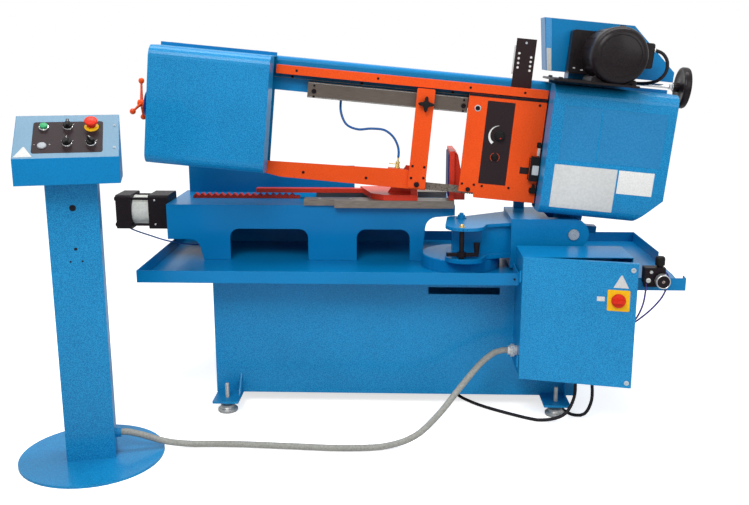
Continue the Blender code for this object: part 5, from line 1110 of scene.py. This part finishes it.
# ============================================================ speed handwheel
# A solid moulded disc with a rounded rim turns the variable speed drive.  It sits on the
# right end of a long bright steel rod, held by a hexagon collar.
WHEEL_PLACE = HEAD @ Matrix.Translation((0, 0.29, 1.222)) @ TO_RIGHT
wheel = lathe("disc", [(0, 1.1296), (0.012, 1.1296), (0.014, 1.1275), (0.030, 1.1240), (0.052, 1.1245),
                       (0.064, 1.1285), (0.0700, 1.1296), (0.0748, 1.1278), (0.0773, 1.1230),
                       (0.0773, 1.1070), (0.0748, 1.1022), (0.0700, 1.1004), (0.0640, 1.1015),
                       (0.052, 1.1050), (0.026, 1.1050), (0.0178, 1.1010), (0.0172, 1.0800),
                       (0, 1.0800)], WHEEL_PLACE, 64)
rod = lathe("rod", [(0, 1.0830), (0.0074, 1.0830), (0.0074, 0.8630), (0.0060, 0.8622), (0, 0.8622)],
            WHEEL_PLACE, 24)
collar = lathe("collar", [(0.0070, 1.0790), (0.0145, 1.0790), (0.0145, 1.0755), (0.0112, 1.0745),
                          (0.0112, 1.0640), (0.0104, 1.0630), (0.0070, 1.0628)], WHEEL_PLACE, 6)
fit(wheel, "handwheel", motor_black)
rod = fit(merge("handwheel_rod", [rod, collar]), "handwheel", chrome_rod)
soften(rod.data, 30)
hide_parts("speed_handwheel")
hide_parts("speed_handwheel")
rim_screw = cap_screw(0.0026, 0.0008, WHEEL_PLACE @ Matrix.Rotation(math.radians(-115), 4, "Z")
                      @ Matrix.Translation((0.058, 0, 1.1262)))
fit(rim_screw, "handwheel", zinc)

# ============================================================ band tension handle
# A star handle of three tapered arms turns the screw that pulls the idler wheel to the left,
# against a stack of dished washers under a dark blue disc.
TENSION = (0.205, 0.972)
TENSION_PLACE = HEAD @ Matrix.Translation((0, *TENSION)) @ TO_RIGHT
SPRING_X = -0.905
SCREW_END = -0.665
spring = lathe("spring", [(0.011, SPRING_X + 0.0115), (0.050, SPRING_X + 0.0078),
                          (0.0555, SPRING_X + 0.0015), (0.0555, SPRING_X), (0.0495, SPRING_X - 0.0055),
                          (0.022, SPRING_X - 0.0085), (0.011, SPRING_X - 0.0085),
                          (0.011, SPRING_X + 0.0115)], TENSION_PLACE, 48)
spring = fit(spring, "tension_screw", dark_blue)
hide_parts("tension_handle")
thread = [(0, SCREW_END), (0.0085, SCREW_END)]
SCREW_PITCH = 0.005
for turn in range(44):
    along = SCREW_END - 0.001 - turn * SCREW_PITCH
    thread += [(0.0098, along - 0.0010), (0.0098, along - 0.0022), (0.0086, along - 0.0034),
               (0.0086, along - 0.0046)]
thread += [(0.0100, SPRING_X + 0.0150), (0.0100, SPRING_X - 0.008), (0, SPRING_X - 0.008)]
screw = fit(lathe("tension_thread", thread, TENSION_PLACE, 20), "tension_screw", zinc)
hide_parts("tension_handle")
hub = lathe("hub", [(0, SPRING_X - 0.0088), (0.0145, SPRING_X - 0.0088), (0.0145, SPRING_X - 0.0300),
                    (0.0130, SPRING_X - 0.0345), (0.0125, SPRING_X - 0.0385), (0.0105, SPRING_X - 0.0398),
                    (0, SPRING_X - 0.0398)], TENSION_PLACE, 32)
pieces = [hub]
for angle in (78, 198, 318):
    lean = math.radians(angle)
    outward = Vector((-0.009, math.cos(lean) * 0.085, math.sin(lean) * 0.085))
    length = outward.length
    place = HEAD @ Matrix.Translation((SPRING_X - 0.026, *TENSION)) @ facing(outward, (1, 0, 0))
    pieces.append(lathe("arm", [(0, 0), (0.0060, 0), (0.0058, 0.020), (0.0046, 0.050),
                                (0.0042, length - 0.011), (0.0062, length - 0.0098),
                                (0.0098, length - 0.0055), (0.0113, length), (0.0100, length + 0.0055),
                                (0.0062, length + 0.0095), (0, length + 0.0113)], place, 20))
star = fit(merge("tension_arms", pieces), "tension_screw", orange)
soften(star.data, 40)
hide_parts("tension_handle")
